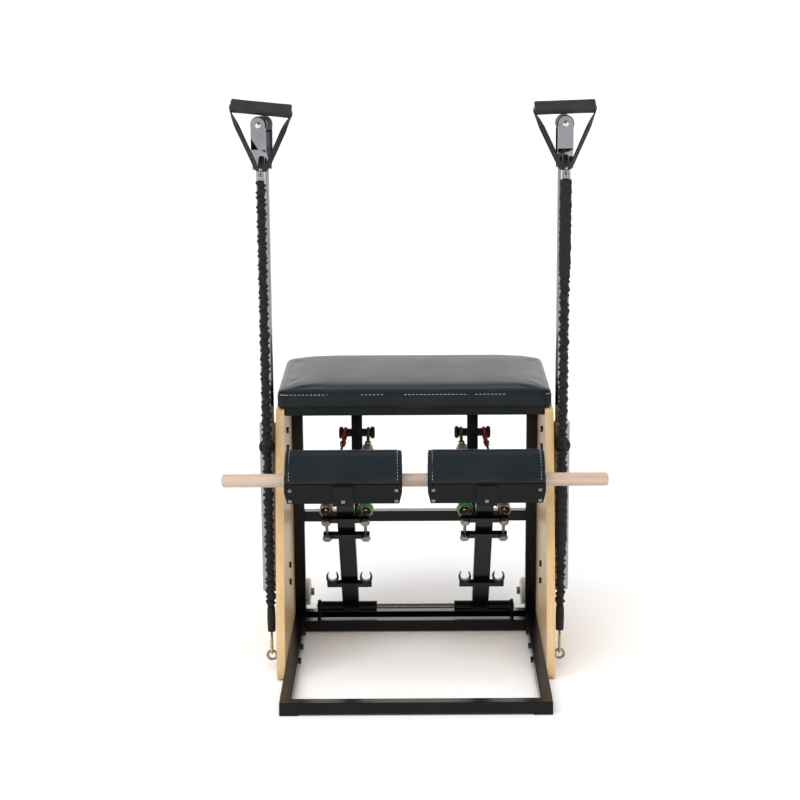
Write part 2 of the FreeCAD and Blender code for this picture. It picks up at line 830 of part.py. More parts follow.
def end_cup(length):
    """Cup that holds the ball of the anchor stud, open towards the anchor bar."""
    back = length + cup_mouth - cup_length
    mouth = length + cup_mouth
    cup = rod(V(0, 0, back), V(0, 0, mouth), spring_d)
    return cup.cut(rod(V(0, 0, back + cup_floor), V(0, 0, mouth), cup_bore)), back


springs = {"spring_straps": [], "spring_top_fittings": [], "spring_coils": [], "spring_end_cups": []}
for side, rod_length in ((1, outer_rod_length), (-1, inner_rod_length)):
    line, line_length = spring_line(post_x + side * strap_offset, side)
    fitting, coil_start = top_fitting(rod_length)
    cup, coil_end = end_cup(line_length)
    turns = coil(coil_end - coil_start)
    turns.translate(V(0, 0, coil_start))
    for piece, shape in zip(springs, (strap_loop(), fitting, turns, cup)):
        springs[piece].append(shape.transformed(line.toMatrix()))
for piece, solids in springs.items():
    save("right_" + piece, *solids)
    save("left_" + piece, *[mirrored(solid) for solid in solids])


# Pole sockets with flag plates and lock bosses
boss_front = pole_y - socket_d / 2 - boss_height


def pole_socket():
    foot = V(pole_x, pole_y, socket_bottom_z)
    top = V(pole_x, pole_y, socket_top_z)
    knob_centre = V(pole_x, pole_y, knob_z)
    pieces = [rod(foot, top, socket_d), rod(V(pole_x, boss_front, knob_z), knob_centre, boss_d)]
    for flag_z in flag_zs:
        pieces.append(box(panel_outer, panel_outer + flag_thickness, pole_y, pole_y + flag_length,
                          flag_z - flag_height / 2, flag_z + flag_height / 2))
    bore = rod(foot + z_axis * socket_floor, top, pole_d + 2 * running_fit)
    stem = rod(V(pole_x, boss_front, knob_z), knob_centre, knob_stem_d + 2 * running_fit)
    return union(pieces).cut(bore).cut(stem).cut(Part.makeCompound(panel_bolts))


save("pole_sockets", *both(pole_socket()))


def lock_knob():
    """Clamp screw, backed off so that the pole slides past its tip."""
    seat_y = boss_front - soft_clearance
    tip_y = pole_y - pole_d / 2 - knob_backed_off
    cap = rod(V(pole_x, seat_y - knob_height, knob_z), V(pole_x, seat_y, knob_z), knob_d)
    cap = cap.makeFillet(knob_height / 3, cap.Edges[:1] + cap.Edges[2:])
    return union([cap, rod(V(pole_x, seat_y, knob_z), V(pole_x, tip_y, knob_z), knob_stem_d)])


knob = lock_knob()
save("right_lock_knob", knob)
save("left_lock_knob", mirrored(knob))


# Pole with its welded fork, built at the origin of the pole's axis on the right side
def pole_with_fork():
    r = pole_d / 2 - fork_sink
    shaft = rod(V(0, 0, pole_bottom_z), V(0, 0, pole_top_z), pole_d)
    hollow = rod(V(0, 0, pole_bottom_z), V(0, 0, pole_top_z - pole_cap), pole_d - 2 * pole_wall)
    w = fork_width / 2
    g = fork_half_gap
    t = fork_plate
    weld_z = pole_top_z - fork_weld_length
    jog_z = pole_top_z + fork_jog
    pieces = [shaft.cut(hollow)]
    for side in (-1, 1):
        outline = [V(-w, side * r, weld_z), V(-w, side * (r + t), weld_z),
                   V(-w, side * (r + t), pole_top_z), V(-w, side * (g + t), jog_z),
                   V(-w, side * (g + t), roller_z), V(-w, side * g, roller_z),
                   V(-w, side * g, jog_z), V(-w, side * r, pole_top_z)]
        plate = prism(outline, V(fork_width, 0, 0))
        eye = rod(V(0, side * g, roller_z), V(0, side * (g + t), roller_z), fork_width)
        pieces += [plate.cut(hollow), eye]
    pieces.append(rod(V(0, -g - t, roller_z), V(0, g + t, roller_z), roller_pin_d))
    return union(pieces)


def roller():
    reach = fork_half_gap - side_play
    r = roller_d / 2
    flat = reach - roller_lip
    outline = [V(0, -reach, 0), V(r, -reach, 0), V(r, -flat, 0), V(r - roller_groove, 0, 0),
               V(r, flat, 0), V(r, reach, 0), V(0, reach, 0)]
    wheel = Part.Face(Part.makePolygon(outline + outline[:1])).revolve(V(0, 0, 0), y_axis, 360)
    wheel = wheel.cut(rod(V(0, -reach, 0), V(0, reach, 0), roller_pin_d + 2 * running_fit))
    wheel.translate(V(0, 0, roller_z))
    return wheel


def grip_height(tilt):
    return roller_z + (roller_d / 2 + soft_clearance + grip_d / 2) / math.cos(math.radians(tilt))


def handle_grip(tilt):
    reach = x_axis * (grip_length / 2)
    foam = rod(reach * -1, reach, grip_d)
    rims = [e for e in foam.Edges if e.BoundBox.XLength < edge_tolerance]
    foam = foam.makeFillet(grip_round, rims).cut(rod(reach * -1, reach, grip_bore))
    foam.rotate(V(0, 0, 0), y_axis, tilt)
    foam.translate(V(0, 0, grip_height(tilt)))
    return foam


def handle_strap(tilt):
    """Webbing loop: a run through the grip and two legs that meet in front of the pole."""
    centre = V(0, 0, grip_height(tilt))
    grip_way = FreeCAD.Rotation(y_axis, tilt).multVec(x_axis)
    to_rope = V(0, -rope_top_reach, rope_top_z) - centre
    shift = to_rope.dot(grip_way)
    up = grip_way * shift - to_rope
    fall = up.Length
    reach = grip_length / 2 + strap_overhang
    b = strap_band / 2
    knee = grip_d / 2 + strap_clearance

    def band(side_x, top, tip_x, low):
        outline = ((-side_x, -knee), (-side_x, top), (side_x, top), (side_x, -knee),
                   (shift + tip_x, -low), (shift - tip_x, -low))
        return prism([V(x, -strap_depth / 2, z) for x, z in outline], V(0, strap_depth, 0))

    loop = band(reach + b, b, strap_band, fall).cut(band(reach - b, -b, b / 2, fall - strap_tail))
    frame = FreeCAD.Rotation(grip_way, up.cross(grip_way), up, "XZY")
    return loop.transformed(FreeCAD.Placement(centre, frame).toMatrix())


for name, side, yaw, tilt in (("right", 1, right_fork_yaw, right_grip_tilt),
                              ("left", -1, left_fork_yaw, left_grip_tilt)):
    at_pole = V(side * pole_x, pole_y, 0)
    for piece, shape in (("pole", pole_with_fork()), ("fork_roller", roller())):
        shape.rotate(V(0, 0, 0), z_axis, yaw)
        shape.translate(at_pole)
        save(name + "_" + piece, shape)
    for piece, shape in (("handle_grip", handle_grip(tilt)), ("handle_strap", handle_strap(tilt))):
        shape.translate(at_pole)
        save(name + "_" + piece, shape)


# Elastic ropes, straight from the eye bolt on the panel to the handle
rope_foot = V(panel_outer + eye_reach, panel_foot_y + rope_foot_lag, rope_foot_z)
rope_top = V(pole_x, pole_y - rope_top_reach, rope_top_z)
rope_path = rope_top - rope_foot
rope_way = rope_path * (1 / rope_path.Length)


def along_rope(distance):
    return rope_foot + rope_way * distance


def gathered_sleeve(length):
    """Gathered fabric tube along X: each gather swells between two waists."""
    period = length / sleeve_gathers
    swell = sleeve_d - sleeve_waist
    rings = []
    for gather in range(sleeve_gathers):
        for share, rise in gather_profile:
            spot = V((gather + share) * period, 0, 0)
            rings.append(Part.Wire(Part.makeCircle((sleeve_waist + swell * rise) / 2, spot, x_axis)))
    rings.append(Part.Wire(Part.makeCircle(sleeve_waist / 2, V(length, 0, 0), x_axis)))
    skin = Part.makeLoft(rings, True, True)
    return skin.cut(rod(V(0, 0, 0), V(length, 0, 0), sleeve_bore))


ferrule_end = rope_path.Length - ferrule_drop
ferrule_start = ferrule_end - ferrule_length
sleeve_end = ferrule_start - sleeve_top_gap
sleeve = gathered_sleeve(sleeve_end - end_sleeve_length)
sleeve_place = FreeCAD.Placement(along_rope(end_sleeve_length), FreeCAD.Rotation(x_axis, rope_way))
sleeve = sleeve.transformed(sleeve_place.toMatrix())
end_sleeve = rod(rope_foot, along_rope(end_sleeve_length), end_sleeve_d)
ferrule = rod(along_rope(ferrule_start), along_rope(ferrule_end), ferrule_d)
cord = rod(along_rope(ferrule_start - cord_length), along_rope(ferrule_start), cord_d)
for piece, shape in (("rope_sleeve", sleeve), ("rope_ferrule", ferrule), ("elastic_cord", cord)):
    save("right_" + piece, shape)
    save("left_" + piece, mirrored(shape))
save("rope_end_sleeves", *both(end_sleeve))


def rope_eye_bolt():
    centre = V(rope_foot.x, rope_foot.y, eye_z)
    ring = Part.makeTorus((eye_hole + eye_wire) / 2, eye_wire / 2, centre, y_axis)
    shank_end = centre - x_axis * (eye_hole / 2 + eye_wire / 2)
    return union([ring, rod(V(panel_outer, centre.y, eye_z), shank_end, eye_wire)])


def snap_hook():
    """Long link from the eye up to the rope's end sleeve."""
    low = eye_z + eye_hole / 2 - hook_bar - soft_clearance
    high = rope_foot_z - soft_clearance
    x = rope_foot.x - hook_bar / 2

    def stadium(width, z0, z1):
        r = width / 2
        y = rope_foot.y
        corners = [V(x, y - r, z0 + r), V(x, y + r, z0 + r), V(x, y + r, z1 - r), V(x, y - r, z1 - r)]
        wire = Part.Wire([Part.Arc(corners[0], V(x, y, z0), corners[1]).toShape(),
                          Part.LineSegment(corners[1], corners[2]).toShape(),
                          Part.Arc(corners[2], V(x, y, z1), corners[3]).toShape(),
                          Part.LineSegment(corners[3], corners[0]).toShape()])
        return Part.Face(wire).extrude(x_axis * hook_bar)

    opening = stadium(hook_width - 2 * hook_bar, low + hook_bar, high - hook_bar)
    return stadium(hook_width, low, high).cut(opening)


save("rope_eye_bolts", *both(rope_eye_bolt()))
save("snap_hooks", *both(snap_hook()))


# Transport wheels
wheel_centre = V(wheel_inner_x, front_y + wheel_back, wheel_z)


def wheel():
    r = wheel_d / 2
    h = wheel_hub_d / 2
    w = wheel_width
    d = wheel_dish
    outline = [V(0, 0, 0), V(0, h, 0), V(d, h + d, 0), V(d, r - 2 * d, 0),
               V(0, r - d, 0), V(d / 2, r, 0), V(w - d / 2, r, 0), V(w, r - d, 0),
               V(w - d, r - 2 * d, 0), V(w - d, h + d, 0), V(w, h, 0), V(w, 0, 0)]
    tyre = Part.Face(Part.makePolygon(outline + outline[:1])).revolve(V(0, 0, 0), x_axis, 360)
    tyre = tyre.cut(rod(V(0, 0, 0), V(w, 0, 0), wheel_axle_d + 2 * running_fit))
    tyre.translate(wheel_centre)
    return tyre


def wheel_axle():
    head = wheel_centre - x_axis * soft_clearance
    end = wheel_centre + x_axis * (wheel_width + wheel_bracket_gap + wheel_bracket)
    return union([rod(head, end, wheel_axle_d), hex_nut(head, V(-wheel_nut_height, 0, 0), wheel_nut_d)])


right_wheel = wheel()
save("right_wheel", right_wheel)
save("left_wheel", mirrored(right_wheel))
save("wheel_axles", *both(wheel_axle()))
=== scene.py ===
import bpy
import bmesh
import math
import random
from mathutils import Matrix, Vector
from mathutils.bvhtree import BVHTree


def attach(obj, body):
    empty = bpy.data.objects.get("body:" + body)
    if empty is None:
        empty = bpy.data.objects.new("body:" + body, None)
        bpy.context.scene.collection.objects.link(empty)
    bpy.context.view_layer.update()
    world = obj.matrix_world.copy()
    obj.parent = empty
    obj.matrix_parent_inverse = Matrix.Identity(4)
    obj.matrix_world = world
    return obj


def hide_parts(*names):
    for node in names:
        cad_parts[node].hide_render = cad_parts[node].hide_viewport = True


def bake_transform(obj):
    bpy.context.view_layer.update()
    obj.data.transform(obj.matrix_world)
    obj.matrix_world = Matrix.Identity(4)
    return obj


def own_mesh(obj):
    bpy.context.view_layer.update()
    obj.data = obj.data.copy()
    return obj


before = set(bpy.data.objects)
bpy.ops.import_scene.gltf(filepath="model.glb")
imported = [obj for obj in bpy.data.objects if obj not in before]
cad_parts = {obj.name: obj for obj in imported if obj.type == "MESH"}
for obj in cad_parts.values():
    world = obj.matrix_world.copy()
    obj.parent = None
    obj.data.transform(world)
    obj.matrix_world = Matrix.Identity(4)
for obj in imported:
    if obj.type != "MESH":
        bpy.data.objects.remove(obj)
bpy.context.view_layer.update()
scene = bpy.context.scene
sides = (("left", -1), ("right", 1))
mm = 0.001
print("frame loaded:", len(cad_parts), "nodes")


# camera at eye height in front, looking down a little
view = {"lens": 86.445, "sensor": 36, "spot": (0, -4.1055, 1.506), "pitch": 77.5, "roll": -0.3, "shiftX": -0.018125}
lensData = bpy.data.cameras.new("camera")
lensData.lens = view["lens"]
lensData.sensor_width = view["sensor"]
lensData.shift_x = view["shiftX"]
camera = bpy.data.objects.new("camera", lensData)
camera.matrix_world = (Matrix.Translation(view["spot"]) @ Matrix.Rotation(math.radians(view["pitch"]), 4, "X")
                       @ Matrix.Rotation(math.radians(view["roll"]), 4, "Z"))
scene.collection.objects.link(camera)
scene.camera = camera


def linear(hexColour):
    parts = [int(hexColour[i:i + 2], 16) / 255 for i in (1, 3, 5)]
    return [c / 12.92 if c <= 0.04045 else ((c + 0.055) / 1.055) ** 2.4 for c in parts] + [1]


def addNode(owner, kind, settings=(), values=(), links=()):
    tree = getattr(owner, "node_tree", owner)  # of a material or world, or a group itself
    node = tree.nodes.new(kind)
    for key, value in dict(settings).items():
        setattr(node, key, value)
    for key, value in dict(values).items():
        node.inputs[key].default_value = value
    for key, source in dict(links).items():
        tree.links.new(source, node.inputs[key])
    return node


# studio: pale floor, soft sky dome, brighter behind the chair than before it, a broad sun-like key
# and two tall soft boxes for the chrome
studio = {"floor": ("#f8f7f6", "#f7f6f5"), "skyLow": "#fbf9f6", "skyHigh": "#9c9da0", "skyRise": (0.25, 0.6),
          "skyFront": 0.42, "skyBehind": 2.1, "skyTurn": (-0.3, 0.85), "keyStrength": 2.8, "keyAngle": 60,
          "keyTilt": (28, -10, 0), "boxPower": 14, "boxSize": (0.7, 2.2), "boxAim": (0, 0, 0.6),
          "boxes": {"softBoxLeft": (-2.6, -2.2, 1.5), "softBoxRight": (2.4, -2.6, 1.7)}}
scene.view_settings.view_transform = "Standard"
world = bpy.data.worlds.new("studio")
scene.world = world
world.use_nodes = True
heading = addNode(world, "ShaderNodeTexCoord").outputs["Generated"]
parts = addNode(world, "ShaderNodeSeparateXYZ", links={"Vector": heading}).outputs
low, high = studio["skyRise"]
rise = addNode(world, "ShaderNodeMapRange", values={"From Min": low, "From Max": high}, links={"Value": parts["Z"]})
low, high = studio["skyTurn"]
behind = addNode(world, "ShaderNodeMapRange", values={"From Min": low, "From Max": high, "To Min": studio["skyFront"],
                                                      "To Max": studio["skyBehind"]}, links={"Value": parts["Y"]})
sky = addNode(world, "ShaderNodeMix", {"data_type": "RGBA"},
              {6: linear(studio["skyLow"]), 7: linear(studio["skyHigh"])}, {0: rise.outputs["Result"]})
backdrop = world.node_tree.nodes["Background"]
world.node_tree.links.new(sky.outputs[2], backdrop.inputs["Color"])
world.node_tree.links.new(behind.outputs["Result"], backdrop.inputs["Strength"])

key = bpy.data.lights.new("key", "SUN")
key.energy = studio["keyStrength"]
key.angle = math.radians(studio["keyAngle"])
keyLight = bpy.data.objects.new("key", key)
keyLight.rotation_euler = [math.radians(a) for a in studio["keyTilt"]]
keyLight.visible_glossy = False  # broad fill only, no hot spot on the vinyl
scene.collection.objects.link(keyLight)
for boxName, spot in studio["boxes"].items():
    softBox = bpy.data.lights.new(boxName, "AREA")
    softBox.shape = "RECTANGLE"
    softBox.size, softBox.size_y = studio["boxSize"]
    softBox.energy = studio["boxPower"]
    lamp = bpy.data.objects.new(boxName, softBox)
    lamp.location = spot
    lamp.rotation_euler = (Vector(studio["boxAim"]) - lamp.location).to_track_quat("-Z", "Y").to_euler()
    scene.collection.objects.link(lamp)
print("camera and studio ready")


# materials: sizes in millimetres, colours as they look in even light
spans = {"gloss": (0.3, 0.7), "patch": (0.32, 0.68), "bands": (0.3, 0.7), "pores": (0.55, 0.75)}  # of noise, put to use


def newMaterial(name, look):
    mat = bpy.data.materials.new(name)
    mat.use_nodes = True
    shader = mat.node_tree.nodes["Principled BSDF"]
    for socket, value in look.get("sockets", {}).items():
        shader.inputs[socket].default_value = value
    return mat, shader


def finishMaterial(mat, shader, colour, gloss, roughness, relief, depth):
    # gloss runs 0 to 1 over the surface, relief is the height of the fine grain
    uneven = addNode(mat, "ShaderNodeMapRange",
                     values={"From Min": spans["gloss"][0], "From Max": spans["gloss"][1],
                             "To Min": roughness[0], "To Max": roughness[1]}, links={"Value": gloss})
    bump = addNode(mat, "ShaderNodeBump", values={"Strength": 1.0, "Distance": depth * mm}, links={"Height": relief})
    for socket, source in (("Base Color", colour), ("Roughness", uneven.outputs["Result"]),
                           ("Normal", bump.outputs["Normal"])):
        mat.node_tree.links.new(source, shader.inputs[socket])
    return mat


def mottledMaterial(name, look):
    mat, shader = newMaterial(name, look)
    where = addNode(mat, "ShaderNodeTexCoord").outputs["Object"]
    patch = addNode(mat, "ShaderNodeTexNoise", values={"Scale": 1 / (look["patch"] * mm), "Detail": 4},
                    links={"Vector": where}).outputs["Fac"]
    low, high = spans["patch"]
    share = addNode(mat, "ShaderNodeMapRange", values={"From Min": low, "From Max": high}, links={"Value": patch})
    tint = addNode(mat, "ShaderNodeMix", {"data_type": "RGBA"},
                   {6: linear(look["colours"][0]), 7: linear(look["colours"][1])}, {0: share.outputs["Result"]})
    grain = addNode(mat, look["grainKind"], values={"Scale": 1 / (look["grain"] * mm)}, links={"Vector": where})
    return finishMaterial(mat, shader, tint.outputs[2], patch, look["roughness"], grain.outputs[0], look["depth"])


def woodMaterial(name, look):
    # long soft bands with short pores in them, both drawn out along the grain
    mat, shader = newMaterial(name, look)
    where = addNode(mat, "ShaderNodeTexCoord").outputs["Object"]
    layers = []
    for across, along, detail in (look["bands"], look["pores"]):
        scale = [1 / (across * mm)] * 3
        scale[look["grainAxis"]] = 1 / (along * mm)
        drawn = addNode(mat, "ShaderNodeMapping", values={"Scale": scale}, links={"Vector": where})
        layers.append(addNode(mat, "ShaderNodeTexNoise", values={"Scale": 1, "Detail": detail, "Distortion": 0.3},
                              links={"Vector": drawn.outputs["Vector"]}).outputs["Fac"])
    bands, pores = layers
    low, high = spans["bands"]
    share = addNode(mat, "ShaderNodeMapRange", values={"From Min": low, "From Max": high}, links={"Value": bands})
    base = addNode(mat, "ShaderNodeMix", {"data_type": "RGBA"},
                   {6: linear(look["colours"][0]), 7: linear(look["colours"][1])}, {0: share.outputs["Result"]})
    low, high = spans["pores"]
    fleck = addNode(mat, "ShaderNodeMapRange", values={"From Min": low, "From Max": high, "To Max": look["fleck"]},
                    links={"Value": pores})
    tint = addNode(mat, "ShaderNodeMix", {"data_type": "RGBA"}, {7: linear(look["colours"][2])},
                   {0: fleck.outputs["Result"], 6: base.outputs[2]})
    return finishMaterial(mat, shader, tint.outputs[2], bands, look["roughness"], pores, look["depth"])


def wovenMaterial(name, look):
    # over and under threads on the band's own lengths
    mat, shader = newMaterial(name, look)
    flat = addNode(mat, "ShaderNodeUVMap", {"uv_map": "lengths"}).outputs["UV"]
    waves = [addNode(mat, "ShaderNodeTexWave", {"wave_type": "BANDS", "bands_direction": way},
                     {"Scale": math.pi / 10 / (look["thread"] * mm), "Distortion": 0.6, "Detail": 1},
                     {"Vector": flat}).outputs["Fac"] for way in ("X", "Y")]
    weave = addNode(mat, "ShaderNodeMath", {"operation": "MULTIPLY"}, links={0: waves[0], 1: waves[1]}).outputs[0]
    fuzz = addNode(mat, "ShaderNodeTexNoise", values={"Scale": 1 / (look["patch"] * mm), "Detail": 3},
                   links={"Vector": flat}).outputs["Fac"]
    tint = addNode(mat, "ShaderNodeMix", {"data_type": "RGBA"},
                   {6: linear(look["colours"][0]), 7: linear(look["colours"][1])}, {0: weave})
    return finishMaterial(mat, shader, tint.outputs[2], fuzz, look["roughness"], weave, look["depth"])


noise, cells = "ShaderNodeTexNoise", "ShaderNodeTexVoronoi"
metal = {"Metallic": 1.0}

# PVC-coated fabric, embossed: a soft sheen broken by a pebble grain, drawn at 1.8 mm where the real one is finer
upholsteryVinyl = mottledMaterial("upholsteryVinyl", {
    "colours": ("#181f23", "#1e2529"), "patch": 70, "grainKind": cells, "grain": 1.8, "depth": 0.06,
    "roughness": (0.33, 0.38), "sockets": {"IOR": 1.52, "Specular IOR Level": 0.15}})
# bonded polyester thread, spun: small dull white strokes
polyesterThread = mottledMaterial("polyesterThread", {
    "colours": ("#bdbab4", "#dad7d0"), "patch": 3, "grainKind": noise, "grain": 0.5, "depth": 0.1,
    "roughness": (0.6, 0.8), "sockets": {"IOR": 1.5}})
# steel tube with baked powder coat: satin black with a faint orange peel, drawn at 1.6 mm
powderCoat = mottledMaterial("powderCoat", {
    "colours": ("#070607", "#0d0b0c"), "patch": 45, "grainKind": noise, "grain": 1.6, "depth": 0.012,
    "roughness": (0.17, 0.25), "sockets": {"IOR": 1.5, "Specular IOR Level": 0.21}})
# maple, planed and lacquered: pale honey with quiet bands up the board and short pores
lacqueredMaple = woodMaterial("lacqueredMaple", {
    "colours": ("#dcbe8e", "#cfab78", "#b08a5c"), "bands": (16, 420, 4), "pores": (1.6, 28, 2), "fleck": 0.4,
    "grainAxis": 2, "depth": 0.03, "roughness": (0.3, 0.42), "sockets": {"IOR": 1.5}})
# maple rod, turned and oiled: pinker, with long straight streaks
oiledMaple = woodMaterial("oiledMaple", {
    "colours": ("#cbb6a5", "#bca28e", "#9f826b"), "bands": (7, 260, 4), "pores": (1.2, 30, 2), "fleck": 0.45,
    "grainAxis": 0, "depth": 0.04, "roughness": (0.4, 0.55), "sockets": {"IOR": 1.5}})
# birch plywood, sanded: thin pale and brown plies, one every 1.5 mm
birchPlywood = woodMaterial("birchPlywood", {
    "colours": ("#d8bf95", "#bb9a6b", "#8c6b42"), "bands": (1.5, 200, 2), "pores": (1.2, 18, 2), "fleck": 0.5,
    "grainAxis": 0, "depth": 0.05, "roughness": (0.6, 0.75), "sockets": {"IOR": 1.5}})
# board faced with black melamine, pressed: flat black with a dull shine
blackMelamine = mottledMaterial("blackMelamine", {
    "colours": ("#0b0a0b", "#131112"), "patch": 30, "grainKind": noise, "grain": 1.2, "depth": 0.02,
    "roughness": (0.36, 0.5), "sockets": {"IOR": 1.5, "Specular IOR Level": 0.2}})
# steel tube, bright chromium plate: a clean mirror with a trace of haze
chromePlate = mottledMaterial("chromePlate", {
    "colours": ("#8c8b8f", "#9a999d"), "patch": 50, "grainKind": noise, "grain": 6, "depth": 0.004,
    "roughness": (0.05, 0.11), "sockets": metal})
# spring wire, nickel plated and lightly tarnished: warm grey metal
nickelWire = mottledMaterial("nickelWire", {
    "colours": ("#b3a898", "#958a7b"), "patch": 14, "grainKind": noise, "grain": 1.5, "depth": 0.02,
    "roughness": (0.2, 0.34), "sockets": metal})
# pin heads, turned and polished steel: the brightest metal on the chair
brightSteel = mottledMaterial("brightSteel", {
    "colours": ("#dcdcdb", "#cfcfce"), "patch": 8, "grainKind": noise, "grain": 0.8, "depth": 0.008,
    "roughness": (0.12, 0.2), "sockets": metal})
# fasteners, zinc plated: grey with a soft shine
zincPlate = mottledMaterial("zincPlate", {
    "colours": ("#a3a3a2", "#868684"), "patch": 9, "grainKind": noise, "grain": 0.9, "depth": 0.02,
    "roughness": (0.24, 0.38), "sockets": metal})
# snap hooks, cast and nickel plated over brass: a yellowish bright metal
nickelBrass = mottledMaterial("nickelBrass", {
    "colours": ("#c9b98f", "#ab9a70"), "patch": 8, "grainKind": noise, "grain": 1.4, "depth": 0.03,
    "roughness": (0.2, 0.33), "sockets": metal})
# closed-cell foam rubber, moulded and skinned: charcoal with small cells, drawn at 1.6 mm
foamRubber = mottledMaterial("foamRubber", {
    "colours": ("#2a2a2b", "#343435"), "patch": 18, "grainKind": cells, "grain": 1.6, "depth": 0.12,
    "roughness": (0.75, 0.9), "sockets": {"IOR": 1.45}})
# hex bolts, blackened in oil: nearly black with a metal glint
blackenedSteel = mottledMaterial("blackenedSteel", {
    "colours": ("#48474a", "#38373a"), "patch": 9, "grainKind": noise, "grain": 0.9, "depth": 0.02,
    "roughness": (0.22, 0.34), "sockets": metal})
# rubber, moulded: dull near-black
mouldedRubber = mottledMaterial("mouldedRubber", {
    "colours": ("#0e0e0e", "#161616"), "patch": 20, "grainKind": noise, "grain": 1.0, "depth": 0.04,
    "roughness": (0.5, 0.65), "sockets": {"IOR": 1.52, "Specular IOR Level": 0.3}})
# ABS, moulded with a spark texture: black, even and a little shiny
blackAbs = mottledMaterial("blackAbs", {
    "colours": ("#0b0b0c", "#121213"), "patch": 25, "grainKind": noise, "grain": 0.9, "depth": 0.02,
    "roughness": (0.26, 0.38), "sockets": {"IOR": 1.54, "Specular IOR Level": 0.3}})
# polypropylene, moulded in green: waxy and bright
greenPolypropylene = mottledMaterial("greenPolypropylene", {
    "colours": ("#2b8a37", "#39a046"), "patch": 12, "grainKind": noise, "grain": 1.1, "depth": 0.03,
    "roughness": (0.35, 0.5), "sockets": {"IOR": 1.49}})
# nylon, moulded in pale grey: smooth and slightly cloudy
greyNylon = mottledMaterial("greyNylon", {
    "colours": ("#ececeb", "#f4f4f3"), "patch": 16, "grainKind": noise, "grain": 1.2, "depth": 0.03,
    "roughness": (0.4, 0.55), "sockets": {"IOR": 1.53}})
# acetal bush, machined: off-white
whiteAcetal = mottledMaterial("whiteAcetal", {
    "colours": ("#dfddd5", "#eceae3"), "patch": 10, "grainKind": noise, "grain": 0.8, "depth": 0.02,
    "roughness": (0.35, 0.5), "sockets": {"IOR": 1.48}})
# polyester sleeve, woven and shirred on the cord: dull black cloth, thread drawn at 1.5 mm
shirredPolyester = wovenMaterial("shirredPolyester", {
    "colours": ("#1b1b1c", "#323133"), "thread": 1.5, "patch": 9, "depth": 0.12, "roughness": (0.62, 0.85),
    "sockets": {"IOR": 1.5, "Specular IOR Level": 0.25}})
# elastic cord in a braided polyester jacket: black with a coarse braid
braidedElastic = wovenMaterial("braidedElastic", {
    "colours": ("#131314", "#29292b"), "thread": 1.8, "patch": 5, "depth": 0.2, "roughness": (0.6, 0.8),
    "sockets": {"IOR": 1.5}})
# nylon webbing, woven: ribbed black, and the dyed bands of the springs; ribs drawn at 1.6 mm
blackWebbing = wovenMaterial("blackWebbing", {
    "colours": ("#0f0f10", "#1e1d1e"), "thread": 1.6, "patch": 6, "depth": 0.15, "roughness": (0.5, 0.7),
    "sockets": {"IOR": 1.53}})
redWebbing = wovenMaterial("redWebbing", {
    "colours": ("#9c2438", "#cf4a5c"), "thread": 1.6, "patch": 6, "depth": 0.15, "roughness": (0.55, 0.75),
    "sockets": {"IOR": 1.53}})
greenWebbing = wovenMaterial("greenWebbing", {
    "colours": ("#3f4a22", "#69763a"), "thread": 1.6, "patch": 6, "depth": 0.15, "roughness": (0.55, 0.75),
    "sockets": {"IOR": 1.53}})
# seamless paper, rolled out and matt: even and pale
studioPaper = mottledMaterial("studioPaper", {
    "colours": studio["floor"], "patch": 900, "grainKind": noise, "grain": 4, "depth": 0.02,
    "roughness": (0.85, 0.95), "sockets": {"IOR": 1.4}})
print("materials ready:", len(bpy.data.materials))


# mesh helpers

def addPiece(name, verts, faces, material, crease=38):
    mesh = bpy.data.meshes.new(name)
    mesh.from_pydata([tuple(v) for v in verts], [], faces)
    shape = bmesh.new()
    shape.from_mesh(mesh)
    bmesh.ops.recalc_face_normals(shape, faces=shape.faces)
    shape.to_mesh(mesh)
    shape.free()
    mesh.polygons.foreach_set("use_smooth", [True] * len(mesh.polygons))
    mesh.set_sharp_from_angle(angle=math.radians(crease))
    mesh.materials.append(material)
    obj = bpy.data.objects.new(name, mesh)
    scene.collection.objects.link(obj)
    return obj


def tubeFaces(rows, count, loop=False, base=0):
    # quads between neighbouring rings of vertices, and flat ends unless the last ring meets the first
    faces = []
    for i in range(rows if loop else rows - 1):
        here, there = base + i * count, base + (i + 1) % rows * count
        faces += [(here + k, here + (k + 1) % count, there + (k + 1) % count, there + k) for k in range(count)]
    if not loop:
        last = base + (rows - 1) * count
        faces += [tuple(range(base, base + count)), tuple(range(last, last + count))]
    return faces


def sweep(name, spots, section, material, loop=False, crease=38):
    # spots are (point, sideways, upwards); section is (sideways, upwards) offsets, the same at each or one per spot
    sections = section if isinstance(section[0][0], (tuple, list)) else [section] * len(spots)
    count = len(sections[0])
    verts = [p + a * x + b * y for (p, a, b), ring in zip(spots, sections) for x, y in ring]
    obj = addPiece(name, verts, tubeFaces(len(spots), count, loop), material, crease)
    along, around = [0.0], [0.0]
    for i in range(1, len(spots)):
        along.append(along[-1] + (spots[i][0] - spots[i - 1][0]).length)
    for k in range(1, count):
        around.append(around[-1] + math.dist(sections[0][k], sections[0][k - 1]))
    lengths = obj.data.uv_layers.new(name="lengths")
    for corner in obj.data.loops:
        row, k = divmod(corner.vertex_index, count)
        lengths.data[corner.index].uv = (along[row], around[k])
    return obj


def turned(name, profile, origin, way, material, steps=40, hollow=False, lobes=(0, 0), crease=38):
    # profile is (radius, distance along way); lobes is (count, depth) of ribs round all but its thinnest rings
    origin, way = Vector(origin), Vector(way).normalized()
    across = way.orthogonal().normalized()
    up = way.cross(across)
    thinnest = min(profile)[0] + 0.3 * mm
    verts = []
    for radius, reach in profile:
        for k in range(steps):
            turn = 2 * math.pi * k / steps
            r = radius + lobes[1] * math.cos(lobes[0] * turn) * (radius > thinnest)
            verts.append(origin + way * reach + (across * math.cos(turn) + up * math.sin(turn)) * r)
    return addPiece(name, verts, tubeFaces(len(profile), steps, hollow), material, crease)


